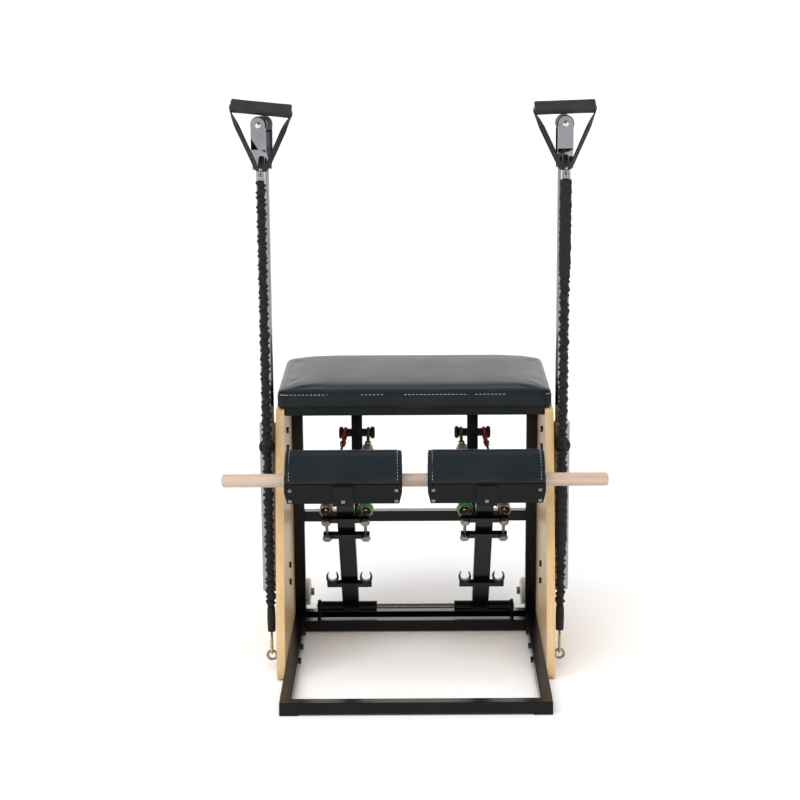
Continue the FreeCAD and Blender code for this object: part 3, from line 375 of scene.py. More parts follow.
def circle(radius, steps):
    turns = [2 * math.pi * k / steps for k in range(steps)]
    return [(radius * math.cos(turn), radius * math.sin(turn)) for turn in turns]


def flatSection(width, thickness):
    # strap section with rounded edges
    w, t = width / 2, thickness / 2
    return [(-w + t * 0.5, -t), (0, -t), (w - t * 0.5, -t), (w, -t * 0.3), (w, t * 0.3),
            (w - t * 0.5, t), (0, t), (-w + t * 0.5, t), (-w, t * 0.3), (-w, -t * 0.3)]


def roundedOver(radius, drop, reach, step):
    # quarter round at the end of a bar, from its end face out to its side
    turns = [math.radians(a) for a in range(0, 91, step)]
    return [(radius - drop * (1 - math.sin(turn)), reach * (1 - math.cos(turn))) for turn in turns]


def eased(reach, run):
    # 0 to 1 over the run, level at both ends
    t = min(max(reach / run, 0), 1)
    return t * t * (3 - 2 * t)


def carried(points, loop=False):
    # a frame carried along the points with no twist
    spots, sideways = [], None
    last = len(points) - 1
    for i, p in enumerate(points):
        before = points[i - 1] if i or loop else p
        after = points[(i + 1) % len(points)] if i < last or loop else p
        way = (after - before).normalized()
        if sideways is None:
            sideways = way.orthogonal()
        sideways = (sideways - way * sideways.dot(way)).normalized()
        spots.append((p, sideways, way.cross(sideways)))
    return spots


def splinePoints(route, steps):
    # the smooth line of a NURBS spline through the route's control points
    curve = bpy.data.curves.new("route", "CURVE")
    curve.dimensions = "3D"
    spline = curve.splines.new("NURBS")
    spline.points.add(len(route) - 1)
    for knot, spot in zip(spline.points, route):
        knot.co = (*spot, 1)
    spline.order_u = 3
    spline.use_endpoint_u = True
    spline.resolution_u = steps
    holder = bpy.data.objects.new("route", curve)
    line = bpy.data.meshes.new_from_object(holder)
    points = [v.co.copy() for v in line.vertices]
    bpy.data.objects.remove(holder)
    bpy.data.meshes.remove(line)
    bpy.data.curves.remove(curve)
    return points


def place(obj, body, slot, *nodes):
    if body:
        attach(obj, body)
    if nodes:
        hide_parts(*nodes)
    return obj


# floor, so wide that its edge is far off
edge = 300
floor = addPiece("floor", [(-edge, -edge, 0), (edge, -edge, 0), (edge, edge, 0), (-edge, edge, 0)], [(0, 1, 2, 3)],
                 studioPaper)


# elastic ropes: a gathered sleeve over the cord, straight from the panel's foot to the handle
rope = {"foot": (0.318, -0.0715, 0.089), "top": (0.323, -0.0365, 1.104), "endSleeve": 0.060, "topGap": 0.0235,
        "sleeve": 0.021, "swell": 0.0264, "waist": 0.0134, "gathers": 60, "uneven": 0.14, "lean": 0.22, "seed": 5,
        "fullness": (0.78, 1.0), "swing": (2.5, 3.8), "crest": 1.25, "sides": 28, "steps": 260,
        # folds at the waists and on the gathers: count, depth, and turn from one gather to the next
        "waistFolds": (9, 0.00045, 1.7), "gatherFolds": (3, 0.0005, 2.3),
        # shares of the sleeve where it is pulled smooth, how full it is there and how much ripple is left
        "open": {"left": (), "right": ((0.17, 0.285), (0.81, 1.1))}, "openFull": 0.80, "openRipple": 0.24,
        "openFade": 0.07, "poleDrop": 0.25,
        "cord": 0.010, "cordFrom": 0.6631, "cordTo": 0.9931, "cordSides": 20, "cordSteps": 60}
# profiles are (share of the radius, millimetres along), the gate's is in metres
ropeEnd = {"thick": 0.0188, "ferrule": 0.015, "ferruleGap": 0.001, "hookBar": 0.0048, "hookWidth": 0.022,
           "hookLow": 0.0367, "hookHigh": 0.0887, "gateHalf": 0.009,
           "profile": ((0.55, 0.2), (0.84, 1.4), (0.95, 4), (0.97, 18), (1.0, 31), (0.98, 46), (0.93, 54), (0.84, 58.2),
                       (0.6, 59.8)),
           "ferruleProfile": ((0.72, 0), (0.93, 0.5), (1.0, 1.6), (1.0, 14.4), (0.94, 15.2), (0.94, 16.4), (1.0, 17.2),
                              (1.0, 18.8), (0.93, 19.7), (0.72, 20)),
           "gate": ((0.0012, -0.0012), (0.0031, 0), (0.0034, 0.003), (0.003, 0.009), (0.0034, 0.015), (0.0031, 0.018),
                    (0.0012, 0.0192))}


def ropeSpot(k, reach):
    foot = Vector((k * rope["foot"][0], *rope["foot"][1:]))
    top = Vector((k * rope["top"][0], *rope["top"][1:]))
    return foot + (top - foot).normalized() * reach


def endProfile(shares, thick):
    return [(thick / 2 * share, reach * mm) for share, reach in shares]


def folds(kind, turn, gather):
    count, depth, shift = rope[kind]
    return depth, math.cos(count * turn + shift * gather)


ropeLength = (Vector(rope["top"]) - Vector(rope["foot"])).length
sleeveEnd = ropeLength - rope["topGap"]
nearEnd = 0.99999  # keeps the last spot in the last gather
for side, k in sides:
    dice = random.Random(rope["seed"] + k)
    # gather marks along the sleeve, unevenly pushed together
    marks = [0.0]
    for _ in range(rope["gathers"]):
        marks.append(marks[-1] + 1 + dice.uniform(-1, 1) * rope["uneven"])
    run = sleeveEnd - rope["endSleeve"]
    marks = [m / marks[-1] * run for m in marks]
    fullness = [dice.uniform(*rope["fullness"]) for _ in range(rope["gathers"])]
    swing = [0.0]  # which way each gather tips
    for _ in range(rope["gathers"]):
        swing.append(swing[-1] + dice.uniform(*rope["swing"]))
    start, end = ropeSpot(k, rope["endSleeve"]), ropeSpot(k, sleeveEnd)
    path = splinePoints((start, (start + end) / 2, end), rope["steps"])
    spots = carried(path)
    rings = []
    for p, a, b in spots:
        at = (p - start).length
        here = at / run * rope["gathers"] * nearEnd
        smooth = max((eased(min(at / run - low, high - at / run) + rope["openFade"], rope["openFade"])
                      for low, high in rope["open"][side]), default=0)
        tip = swing[int(here)] + (swing[int(here) + 1] - swing[int(here)]) * (here % 1)
        ring = []
        for step in range(rope["sides"]):
            turn = 2 * math.pi * step / rope["sides"]
            lean = rope["lean"] * (run / rope["gathers"]) * math.sin(turn + tip)
            spot = min(max(at + lean, 0), run * nearEnd)
            i = next(j for j in range(rope["gathers"]) if marks[j + 1] > spot)
            t = (spot - marks[i]) / (marks[i + 1] - marks[i])
            bulge = (1 - abs(2 * t - 1)) ** rope["crest"] * fullness[i]
            bulge += (rope["openFull"] + rope["openRipple"] * bulge - bulge) * smooth
            (low, lowWave), (high, highWave) = folds("waistFolds", turn, i), folds("gatherFolds", turn, i)
            pleat = low * (1 - bulge) * lowWave + high * bulge * highWave
            radius = (rope["waist"] + (rope["swell"] - rope["waist"]) * bulge) / 2 + pleat
            ring.append((radius * math.cos(turn), radius * math.sin(turn)))
        rings.append(ring)
    sleeve = sweep(side + "GatheredSleeve", spots, rings, shirredPolyester, crease=80)
    place(sleeve, "frame", "rope_fabric", side + "_rope_sleeve")
    way = end - start
    endSleeve = turned(side + "EndSleeve", endProfile(ropeEnd["profile"], ropeEnd["thick"]), ropeSpot(k, 0), way,
                       mouldedRubber)
    place(endSleeve, "frame", "rope_fabric", "rope_end_sleeves")
    ferrule = turned(side + "Ferrule", endProfile(ropeEnd["ferruleProfile"], ropeEnd["ferrule"]),
                     ropeSpot(k, sleeveEnd + ropeEnd["ferruleGap"]), way, chromePlate)
    place(ferrule, side + "_handle", "chrome", side + "_rope_ferrule")
    # snap hook: a bent link with a sprung gate on its front run
    bar, half = ropeEnd["hookBar"], (ropeEnd["hookWidth"] - ropeEnd["hookBar"]) / 2
    low, high = ropeEnd["hookLow"] + bar / 2 + half, ropeEnd["hookHigh"] - bar / 2 - half
    middle = Vector((k * rope["foot"][0], rope["foot"][1], 0))
    bends = [(turn, low) for turn in range(180, 361, 15)] + [(turn, high) for turn in range(0, 181, 15)]
    link = [middle + Vector((0, half * math.cos(math.radians(turn)), z + half * math.sin(math.radians(turn))))
            for turn, z in bends]
    hook = sweep(side + "SnapHook", carried(link, True), circle(bar / 2, 14), nickelBrass, loop=True)
    place(hook, "frame", "bright_steel", "snap_hooks")
    gateFoot = middle + Vector((0, -half, (low + high) / 2 - ropeEnd["gateHalf"]))
    gate = turned(side + "HookGate", ropeEnd["gate"], gateFoot, (0, 0, 1), nickelBrass, steps=20)
    place(gate, "frame", "bright_steel")
    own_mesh(sleeve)

    low, high = ropeSpot(k, rope["cordFrom"]), ropeSpot(k, rope["cordTo"])
    cordPath = splinePoints((low, (low + high) / 2, high), rope["cordSteps"])
    cord = sweep(side + "ElasticCord", carried(cordPath), circle(rope["cord"] / 2, rope["cordSides"]), braidedElastic,
                 crease=80)
    place(cord, side + "_handle", "elastic_rubber", side + "_elastic_cord")
print("ropes ready")


# handles: foam grip on a pale core, webbing twisted down both sides to the rope
handle = {"tilt": {"left": 5.8, "right": -1.8}, "poleX": 0.323, "poleY": 0.0165, "rollerTop": 1.2135, "roller": 0.0185,
          "gap": 0.0003, "grip": 0.0296, "gripLength": 0.130, "gripRound": 0.0037, "bore": 0.017, "boreIn": 0.0006,
          "sunk": ((0.25, 0.0004), (0.5, 0.0002), (0.75, 0.0004)),  # share along, and how deep the foam is pressed
          "core": (0.0074, 0.0083, 0.0084), "coreProud": 0.0006, "overhang": 0.0003, "knee": 0.0150,
          # webbing from the rope up, as (from the middle, above the rope), then round the grip, as (past its end, up)
          "foot": ((0.004, 0.0018), (0.0098, 0.0018), (0.0125, 0.008), (0.0175, 0.018)), "footClear": 0.02,
          "shoulder": ((-0.008, -0.027), (-0.0015, -0.015), (0.0012, -0.007), (0.0012, 0.0002), (-0.006, 0.0004)),
          "webbing": 0.0128, "webbingThick": 0.0022, "webbingSteps": 14,
          "twist": {"left": (56, 68), "right": (68, 46)}, "twistRun": 0.3, "untwist": 0.25,
          "toggle": ((0.0036, 0.0032), (0.0052, 0.0046), (0.0066, 0.009), (0.0072, 0.016), (0.0072, 0.024),
                     (0.0066, 0.0272), (0.0048, 0.0292), (0.0018, 0.0300))}
for side, k in sides:
    tilt = math.radians(handle["tilt"][side])
    r, long, bore = handle["grip"] / 2, handle["gripLength"], handle["bore"] / 2
    centre = Vector((k * handle["poleX"], handle["poleY"], handle["rollerTop"] + (handle["gap"] + r) / math.cos(tilt)))
    centre.z += handle["roller"] / math.cos(tilt) - handle["roller"]
    across = Vector((math.cos(tilt), 0, -math.sin(tilt)))
    first = centre - across * long / 2
    bend = roundedOver(r, handle["gripRound"], handle["gripRound"], 15)
    outside = bend + [(r - depth, long * share) for share, depth in handle["sunk"]]
    outside += [(radius, long - reach) for radius, reach in reversed(bend)]
    profile = [(bore, handle["boreIn"])] + outside + [(bore, long - handle["boreIn"])]
    grip = turned(side + "FoamGrip", profile, first, across, foamRubber, steps=56, hollow=True, crease=70)
    place(grip, side + "_grip", "grip_foam", side + "_handle_grip")
    (inner, outer, swell), proud = handle["core"], handle["coreProud"]
    core = turned(side + "GripCore", [(inner, -proud), (outer, -proud), (swell, long / 2), (outer, long + proud),
                                      (inner, long + proud)], first, across, whiteAcetal, hollow=True)
    place(core, side + "_grip", "grip_foam")

    ropeTop = Vector((k * rope["top"][0], *rope["top"][1:]))
    drop = ropeTop - centre
    shift = drop.dot(across)
    up = across * shift - drop
    fall = up.length
    up.normalize()
    out = up.cross(across)
    reach = long / 2 + handle["overhang"]
    half = [(shift, wide, rise - fall) for wide, rise in handle["foot"]]
    half += [(0, reach + past, rise) for past, rise in handle["shoulder"]]
    route = [(at - wide, z) for at, wide, z in half] + [(0, half[-1][2])]
    route += [(at + wide, z) for at, wide, z in reversed(half)]
    points = splinePoints([centre + across * x + up * z for x, z in route], handle["webbingSteps"])
    spots = []
    for i, p in enumerate(points):
        way = (points[min(i + 1, len(points) - 1)] - points[max(i - 1, 0)]).normalized()
        x, z = (p - centre).dot(across), (p - centre).dot(up)
        share = min(max((-z - handle["knee"]) / (fall - handle["knee"] - handle["footClear"]), 0), 1)
        twist = math.radians(handle["twist"][side][x > shift * share])
        twist *= min(1, share / handle["twistRun"]) * (1 - handle["untwist"] * share)
        thick = way.cross(out).normalized()
        spots.append((p, out * math.cos(twist) + thick * math.sin(twist),
                      thick * math.cos(twist) - out * math.sin(twist)))
    strap = sweep(side + "HandleWebbing", spots, flatSection(handle["webbing"], handle["webbingThick"]), blackWebbing)
    place(strap, side + "_handle", "black_webbing", side + "_handle_strap")
    tip = centre + across * shift - up * fall
    toggle = turned(side + "CordEnd", handle["toggle"], tip, up, blackAbs, steps=28)
    place(toggle, side + "_handle", "black_webbing")
print("handles ready")


# springs: close-wound wire between a plug and an end cup, on red outer and green inner straps
spring = {"ball": (-0.049612, 0.361693), "peg": (0.252, 0.463), "outside": 0.0150, "wire": 0.0047, "wireSides": 10,
          "pitch": 0.00495, "steps": 30, "plug": 0.014, "cupMouth": 0.008, "cup": 0.026, "cupFloor": 0.006,
          "cupBore": 0.0125, "cupRound": 0.0009, "cupFoot": 0.0012, "clear": 0.0001, "centre": 0.0002,
          "pegRadius": 0.0103, "pinRadius": 0.0038, "strapReach": 0.044, "strap": 0.007, "strapThick": 0.0025,
          "kinds": {"outer": {"pegX": 0.161, "ballX": 0.194, "plugFrom": 0.096, "webbing": redWebbing},
                    "inner": {"pegX": 0.108, "ballX": 0.109, "plugFrom": 0.062, "webbing": greenWebbing}},
          # green ring: (proud of the cup, along it), with ribs round it
          "ring": ((0.0001, 0.0125), (0.0014, 0.0122), (0.0026, 0.0140), (0.0030, 0.0185), (0.0026, 0.0232),
                   (0.0012, 0.0250), (0.0001, 0.0248)), "ringRibs": (7, 0.0009)}
# top fitting: pin heads as (radius, past the ear), cheeks as (along, share of the width), plug as (share, along)
fitting = {"earGap": 0.0004, "pin": ((0.0022, 0.0032), (0.0031, 0.0026), (0.0034, 0)), "cheekOut": 0.0012,
           "cheek": ((-0.0036, 0.55), (-0.002, 0.9), (0, 1.0), (0.006, 0.85), (0.012, 0.7)),
           "cheekTip": (0.0022, 0.0165, 0.6), "cheekSize": (0.0022, 0.0070),
           "rod": ((0.0018, 0.0125), (0.0029, 0.0135), (0.0030, 0.016)), "rodRadius": 0.0030, "rodIn": 0.0005,
           "plugClear": 0.0020, "plug": ((0.72, 0.0004), (0.9, 0.0018), (1, 0.0045), (1, 0.0112), (0.97, 0.0118),
                                         (0.97, 0.0140))}
for side, k in sides:
    for kind, at in spring["kinds"].items():
        label = side + kind.title()
        top = Vector((k * at["pegX"], *spring["peg"]))
        ball = Vector((k * at["ballX"], *spring["ball"]))
        way = (ball - top).normalized()
        coilFrom = at["plugFrom"] + spring["plug"]
        coilTo = (ball - top).length + spring["cupMouth"] - spring["cup"]
        wire = spring["wire"]
        turns = (coilTo - coilFrom - wire) / spring["pitch"]
        a = way.orthogonal().normalized()
        b = way.cross(a)
        winding = []
        for step in range(int(turns * spring["steps"]) + 1):
            turn = 2 * math.pi * step / spring["steps"]
            winding.append(top + way * (coilFrom + wire / 2 + spring["pitch"] * step / spring["steps"])
                           + (a * math.cos(turn) + b * math.sin(turn)) * (spring["outside"] - wire / 2))
        coil = sweep(label + "Coil", carried(winding), circle(wire / 2, spring["wireSides"]), nickelWire, crease=80)
        place(coil, None, "spring_steel", side + "_spring_coils")
        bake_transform(coil)

        # end cup in nickel, with a ribbed green ring on the inner spring
        r, bore, long, base = spring["outside"] - spring["clear"], spring["cupBore"], spring["cup"], spring["cupFloor"]
        lip, foot, centre = spring["cupRound"], spring["cupFoot"], spring["centre"]
        cupProfile = [(centre, base), (bore, base), (bore, long), (r - lip, long), (r, long - lip),
                      (r, long * 0.6), (r, foot), (r - foot, 0), (centre, 0)]
        cup = turned(label + "EndCup", cupProfile, top + way * coilTo, way, nickelWire, steps=48)
        place(cup, side + "_spring_ends", "bright_steel", side + "_spring_end_cups")
        if kind == "inner":
            ringProfile = [(r + proud, reach) for proud, reach in spring["ring"]]
            ring = turned(side + "GreenRing", ringProfile, top + way * coilTo, way, greenPolypropylene, steps=84,
                          hollow=True, lobes=spring["ringRibs"])
            place(ring, side + "_spring_ends", "bright_steel")

        # strap round the peg and the fitting's pin
        sideways = (Vector((1, 0, 0)) - way * way.x).normalized()
        outward = way.cross(sideways)
        big = spring["pegRadius"] + spring["strapThick"] / 2
        small = spring["pinRadius"] + spring["strapThick"] / 2
        slope = math.asin((big - small) / spring["strapReach"])
        bends = [(big, 0, math.pi - slope + (math.pi + 2 * slope) * i / 24) for i in range(25)]
        bends += [(small, spring["strapReach"], slope + (math.pi - 2 * slope) * i / 12) for i in range(13)]
        strapSpots = []
        for radius, reach, turn in bends:
            radial = outward * math.cos(turn) + way * math.sin(turn)
            strapSpots.append((top + way * reach + radial * radius, sideways, radial))
        band = sweep(label + "SpringStrap", strapSpots, flatSection(spring["strap"], spring["strapThick"]),
                     at["webbing"], loop=True)
        place(band, side + "_springs", "strap_webbing", side + "_spring_straps")

        # top fitting: a pin between two slim cheeks, a rod and the plug that the coil pulls on
        pin = top + way * spring["strapReach"]
        ear = spring["strap"] / 2 + fitting["earGap"]
        pinProfile = [(radius, -ear - past) for radius, past in fitting["pin"]]
        pinProfile += [(radius, ear + past) for radius, past in reversed(fitting["pin"])]
        pinPiece = turned(label + "FittingPin", pinProfile, pin, sideways, zincPlate, steps=24)
        place(pinPiece, side + "_springs", "black_steel")
        for end, name in ((-1, "Left"), (1, "Right")):
            cheek = [(pin + sideways * (end * (ear + fitting["cheekOut"])) + way * reach, sideways, outward * grow)
                     for reach, grow in fitting["cheek"]]
            tipOut, reach, grow = fitting["cheekTip"]
            cheek.append((pin + sideways * (end * tipOut) + way * reach, sideways, outward * grow))
            plate = sweep(label + "FittingCheek" + name, cheek, flatSection(*fitting["cheekSize"]), powderCoat)
            place(plate, side + "_springs", "black_steel")
        plugAt = at["plugFrom"] - spring["strapReach"]
        rodProfile = [*fitting["rod"], (fitting["rodRadius"], plugAt + fitting["rodIn"])]
        rodEnd = turned(label + "FittingRod", rodProfile, pin, way, powderCoat, steps=24)
        place(rodEnd, side + "_springs", "black_steel", side + "_spring_top_fittings")
        r = spring["outside"] - fitting["plugClear"]
        plugProfile = [(fitting["rodRadius"], 0)] + [(r * share, reach) for share, reach in fitting["plug"]]
        plug = turned(label + "FittingPlug", plugProfile, top + way * at["plugFrom"], way, nickelWire, steps=40)
        place(plug, side + "_springs", "black_steel", side + "_spring_top_fittings")
print("springs ready")


# cushions
cover = {"frames": 20, "quality": 3, "held": 0.003, "heldRim": 0.002}  # cloth run, and how near the base it is stapled


def closedRings(rings):
    return [p for ring in rings for p in ring], tubeFaces(len(rings), len(rings[0]))


def evaluated(obj):
    bpy.context.view_layer.update()
    return bpy.data.meshes.new_from_object(obj.evaluated_get(bpy.context.evaluated_depsgraph_get()))


def bake(obj):
    # the modifiers' result becomes the mesh
    mesh = evaluated(obj)
    obj.modifiers.clear()
    obj.data = mesh


def normalsOf(obj):
    # taken once, because a moved vertex makes the whole mesh work its normals out again
    return [vert.normal.copy() for vert in obj.data.vertices]


def inflate(obj, held, settings):
    # short cloth run with air pressure inside, held where the cover is stapled
    remesh = obj.modifiers.new("remesh", "REMESH")
    remesh.mode = "VOXEL"
    remesh.voxel_size = settings["voxel"]
    bake(obj)
    rest = [v.co.copy() for v in obj.data.vertices]
    pins = obj.vertex_groups.new(name="held")
    pins.add([i for i, p in enumerate(rest) if held(p)], 1.0, "REPLACE")
    cloth = obj.modifiers.new("cloth", "CLOTH")
    cloth.settings.vertex_group_mass = "held"
    cloth.settings.use_pressure = True
    cloth.settings.uniform_pressure_force = settings["pressure"]
    cloth.settings.effector_weights.gravity = 0
    cloth.settings.quality = cover["quality"]
    for number in range(cover["frames"]):
        scene.frame_set(number + 1)
    swollen = evaluated(obj)
    moves = [v.co - p for v, p in zip(swollen.vertices, rest)]
    print("  ", obj.name, "cloth moved up to", round(max(m.length for m in moves) * 1000, 1), "mm")
    obj.modifiers.clear()
    for vert, p, move, out in zip(obj.data.vertices, rest, moves, normalsOf(obj)):
        inward = min(move.dot(out) + settings["pullIn"], 0)  # the foam stops the cover from drawing in further
        move -= out * inward
        vert.co = p + move * min(settings["give"], settings["cap"] / max(move.length, 1e-9))
    scene.frame_set(1)
    obj.vertex_groups.clear()
    smooth = obj.modifiers.new("smooth", "SUBSURF")
    smooth.levels = smooth.render_levels = 1
    bake(obj)


def drawOut(obj, low, high):
    # the remesh takes a little off all round, so the cover is drawn out to its cut size again
    for axis in range(3):
        at = [vert.co[axis] for vert in obj.data.vertices]
        least, stretch = min(at), (high[axis] - low[axis]) / (max(at) - min(at))
        for vert in obj.data.vertices:
            vert.co[axis] = low[axis] + (vert.co[axis] - least) * stretch
    obj.data.update()


def finishCushion(obj):
    obj.data.polygons.foreach_set("use_smooth", [True] * len(obj.data.polygons))
    obj.data.materials.clear()
    obj.data.materials.append(upholsteryVinyl)
    obj.data.update()


def seamDip(fromSeam, settings):
    return settings["seamDepth"] * math.exp(-(fromSeam / settings["seamWidth"]) ** 2)


# a stitch as (share of its length, lift, thickness): a short round stroke that dips into the cover at both ends
stroke = ((-0.5, -0.9, 0.5), (-0.3, 0.1, 1.0), (0, 0.35, 1.0), (0.3, 0.1, 1.0), (0.5, -0.9, 0.5))
strokeSides = 6
# how far a thread sinks by its thickness, and the slow waves (pace, size) in which it does so where it isn't set
tension = {"tight": 0.95, "loose": 0.7, "waves": ((0.11, 1), (0.53, 0.5))}


def sunk(number, p, out, thread):
    # a tight thread sinks into the cover here and there; the front seam has its own stretches
    if "tight" in thread and out.y < -0.9:
        share = (p.x + thread["half"]) / (2 * thread["half"])
        deepest = max(eased(min(share - low, high - share), thread["fade"]) for low, high in thread["tight"])
        return tension["tight"] * deepest
    return tension["loose"] * max(0, sum(size * math.sin(pace * number) for pace, size in tension["waves"]))


def stitches(name, spots, thread, body):
    verts, faces = [], []
    for number, (p, out, along) in enumerate(spots):
        p = p - out * (thread["thick"] * sunk(number, p, out, thread))
        aside = along.cross(out).normalized()
        faces += tubeFaces(len(stroke), strokeSides, base=len(verts))
        for reach, lift, grow in stroke:
            middle = p + along * (reach * thread["stitch"]) + out * (lift * thread["thick"] / 2)
            verts += [middle + (aside * x + out * y) * (grow * thread["thick"] / 2) for x, y in circle(1, strokeSides)]
    row = addPiece(name, verts, faces, polyesterThread, crease=80)
    return place(row, body, "seat_vinyl")


def onCover(tree, start, way):
    hit, normal, _, _ = tree.ray_cast(start, way, 0.2)
    return hit, normal


# seat cushion: boxed, stapled under the board, crowned, lower at the front, with a stitched seam below the top edge
seat = {"half": 0.3005, "front": -0.0140, "back": 0.3260, "base": 0.5805, "top": 0.6355, "corner": 0.018,
        "voxel": 0.006, "pressure": 4, "give": 0.3, "cap": 0.003, "pullIn": 0.0006, "frontDrop": 0.0070,
        "crown": 0.0062, "crownEnds": 0.12, "crownBack": 0.035, "crownEdge": 0.008,
        "boardHalf": 0.2885, "boardFront": -0.0020, "boardBack": 0.3140, "boardTop": 0.5985, "boardCorner": 0.016,
        # side of the cushion, as (above its base, drawn in)
        "levels": ((0.0, 0.0012), (0.003, 0.0), (0.020, 0.0), (0.0313, 0.0), (0.0388, 0.0006), (0.0453, 0.003),
                   (0.0490, 0.0075), (0.0513, 0.0135), (0.0530, 0.026), (0.0542, 0.050), (0.0552, 0.090),
                   (0.0556, 0.140)),
        "seamZ": 0.6140, "seamWidth": 0.0028, "seamDepth": 0.0017, "seamFrom": 0.006, "seamSlope": 0.75,
        "stitch": 0.0056, "gap": 0.0030, "thick": 0.0011, "stitchDrop": 0.0032, "castFrom": 0.03,
        # shares of the front seam, from the left, where the thread is drawn down into the cover
        "tight": ((-0.1, 0.034), (0.175, 0.305), (0.380, 0.465), (0.690, 0.725), (0.825, 1.1)), "fade": 0.012}


def roundedOutline(half, front, back, corner, z):
    ring = []
    for x, y, first in ((half - corner, front + corner, -90), (half - corner, back - corner, 0),
                        (-half + corner, back - corner, 90), (-half + corner, front + corner, 180)):
        for step in range(9):
            turn = math.radians(first + step * 11.25)
            ring.append(Vector((x + corner * math.cos(turn), y + corner * math.sin(turn), z)))
    return ring


def seatHeld(p):
    # the cover is stapled under the cushion and lies on the board
    rim = cover["heldRim"]
    onBoard = abs(p.x) < seat["boardHalf"] + rim and seat["boardFront"] - rim < p.y < seat["boardBack"] + rim
    return p.z < seat["base"] + cover["held"] or (p.z < seat["boardTop"] + rim and onBoard)


rings = [roundedOutline(seat["boardHalf"], seat["boardFront"], seat["boardBack"], seat["boardCorner"], z)
         for z in (seat["boardTop"], seat["base"])]
rings += [roundedOutline(seat["half"] - draw, seat["front"] + draw, seat["back"] - draw, seat["corner"],
                         seat["base"] + z) for z, draw in seat["levels"]]
seatPad = addPiece("seatCushion", *closedRings(rings), upholsteryVinyl)
inflate(seatPad, seatHeld, seat)
drawOut(seatPad, (-seat["half"], seat["front"], seat["base"]), (seat["half"], seat["back"], seat["top"]))
for vert, n in zip(seatPad.data.vertices, normalsOf(seatPad)):
    fromFront = min(max((vert.co.y - seat["front"]) / (seat["back"] - seat["crownBack"] - seat["front"]), 0), 1)
    full = eased(seat["half"] - abs(vert.co.x), seat["crownEnds"]) * eased(seat["back"] - vert.co.y, seat["crownBack"])
    above = min(max((vert.co.z - seat["seamZ"]) / (seat["top"] - seat["crownEdge"] - seat["seamZ"]), 0), 1)
    vert.co.z += (seat["crown"] * full * fromFront - seat["frontDrop"] * (1 - fromFront)) * above
    if n.z < seat["seamSlope"] and vert.co.z > seat["boardTop"] + seat["seamFrom"]:
        vert.co -= Vector((n.x, n.y, 0)).normalized() * seamDip(vert.co.z - seat["seamZ"], seat)
finishCushion(seatPad)
place(seatPad, "frame", "seat_vinyl", "seat_cushion")
tree = BVHTree.FromObject(seatPad, bpy.context.evaluated_depsgraph_get())
far = seat["castFrom"]  # the seam's outline, from which the cover is looked for
outline = roundedOutline(seat["half"] + far, seat["front"] - far, seat["back"] + far, seat["corner"] + far,
                         seat["seamZ"] - seat["stitchDrop"])
seamSpots, carry = [], 0.0
for i, p in enumerate(outline):
    leg = outline[(i + 1) % len(outline)] - p
    along = leg.normalized()
    while carry < leg.length:
        hit, normal = onCover(tree, p + along * carry, Vector((along.y, -along.x, 0)) * -1)
        if hit is not None:
            seamSpots.append((hit, normal, along))
        carry += seat["stitch"] + seat["gap"]
    carry -= leg.length
stitches("seatStitching", seamSpots, seat, "frame")
print("seat ready,", len(seamSpots), "stitches")

# pedal cushions: half-round over the rib of the box, a sewn end panel with a stitched seam at each end
pad = {"half": 0.1245, "armX": 0.1515, "middleY": -0.1395, "radius": 0.0575, "base": 0.4573, "top": 0.5175,
       "ribHalf": 0.0500, "ribTop": 0.4745, "voxel": 0.0045, "pressure": 4, "give": 0.4, "cap": 0.003, "pullIn": 0.0004,
       "ends": ((0.0, 0.0025), (0.001, 0.0008), (0.003, 0.0)),  # ends as (in from the face, drawn in)
       "seamIn": 0.0065, "seamWidth": 0.0024, "seamDepth": 0.0014, "seamFrom": 0.002, "seamOut": 0.9,
       "stitchIn": 0.0098, "stitch": 0.0046, "gap": 0.0028, "thick": 0.0011, "castFrom": 0.15}


def padSection(x, draw):
    r, y, rib = pad["radius"] - draw, pad["middleY"], pad["ribHalf"]
    ring = [Vector((x, y - r * math.cos(math.radians(a)), pad["base"] + r * math.sin(math.radians(a))))
            for a in range(0, 181, 6)]
    return ring + [Vector((x, y + rib, pad["base"])), Vector((x, y + rib, pad["ribTop"])),
                   Vector((x, y - rib, pad["ribTop"])), Vector((x, y - rib, pad["base"]))]


def padHeld(p):
    onRib = abs(p.y - pad["middleY"]) < pad["ribHalf"] + cover["heldRim"]
    return p.z < pad["base"] + cover["held"] or (p.z < pad["ribTop"] + cover["heldRim"] and onRib)


# both pads are alike, so one is blown up at the middle and copied to each arm
stations = [(step - pad["half"], draw) for step, draw in pad["ends"]]
stations += [(pad["half"] - step, draw) for step, draw in reversed(pad["ends"])]
padForm = addPiece("padForm", *closedRings([padSection(x, draw) for x, draw in stations]), upholsteryVinyl)
inflate(padForm, padHeld, pad)
drawOut(padForm, (-pad["half"], pad["middleY"] - pad["radius"], pad["base"]),
        (pad["half"], pad["middleY"] + pad["radius"], pad["top"]))
for vert in padForm.data.vertices:
    spoke = Vector((0, vert.co.y - pad["middleY"], vert.co.z - pad["base"]))
    if spoke.length > pad["radius"] * pad["seamOut"] and vert.co.z > pad["base"] + pad["seamFrom"]:
        vert.co -= spoke.normalized() * seamDip(pad["half"] - abs(vert.co.x) - pad["seamIn"], pad)
finishCushion(padForm)
tree = BVHTree.FromObject(padForm, bpy.context.evaluated_depsgraph_get())
padStitches = []
for x in (pad["stitchIn"] - pad["half"], pad["half"] - pad["stitchIn"]):
    count = int(math.pi * pad["radius"] / (pad["stitch"] + pad["gap"]))
    for step in range(1, count):
        turn = math.pi * (step + 0.5) / (count + 1)
        out = Vector((0, -math.cos(turn), math.sin(turn)))
        hit, normal = onCover(tree, Vector((x, pad["middleY"], pad["base"])) + out * pad["castFrom"], -out)
        if hit is not None:
            padStitches.append((hit, normal, Vector((0, math.sin(turn), math.cos(turn)))))
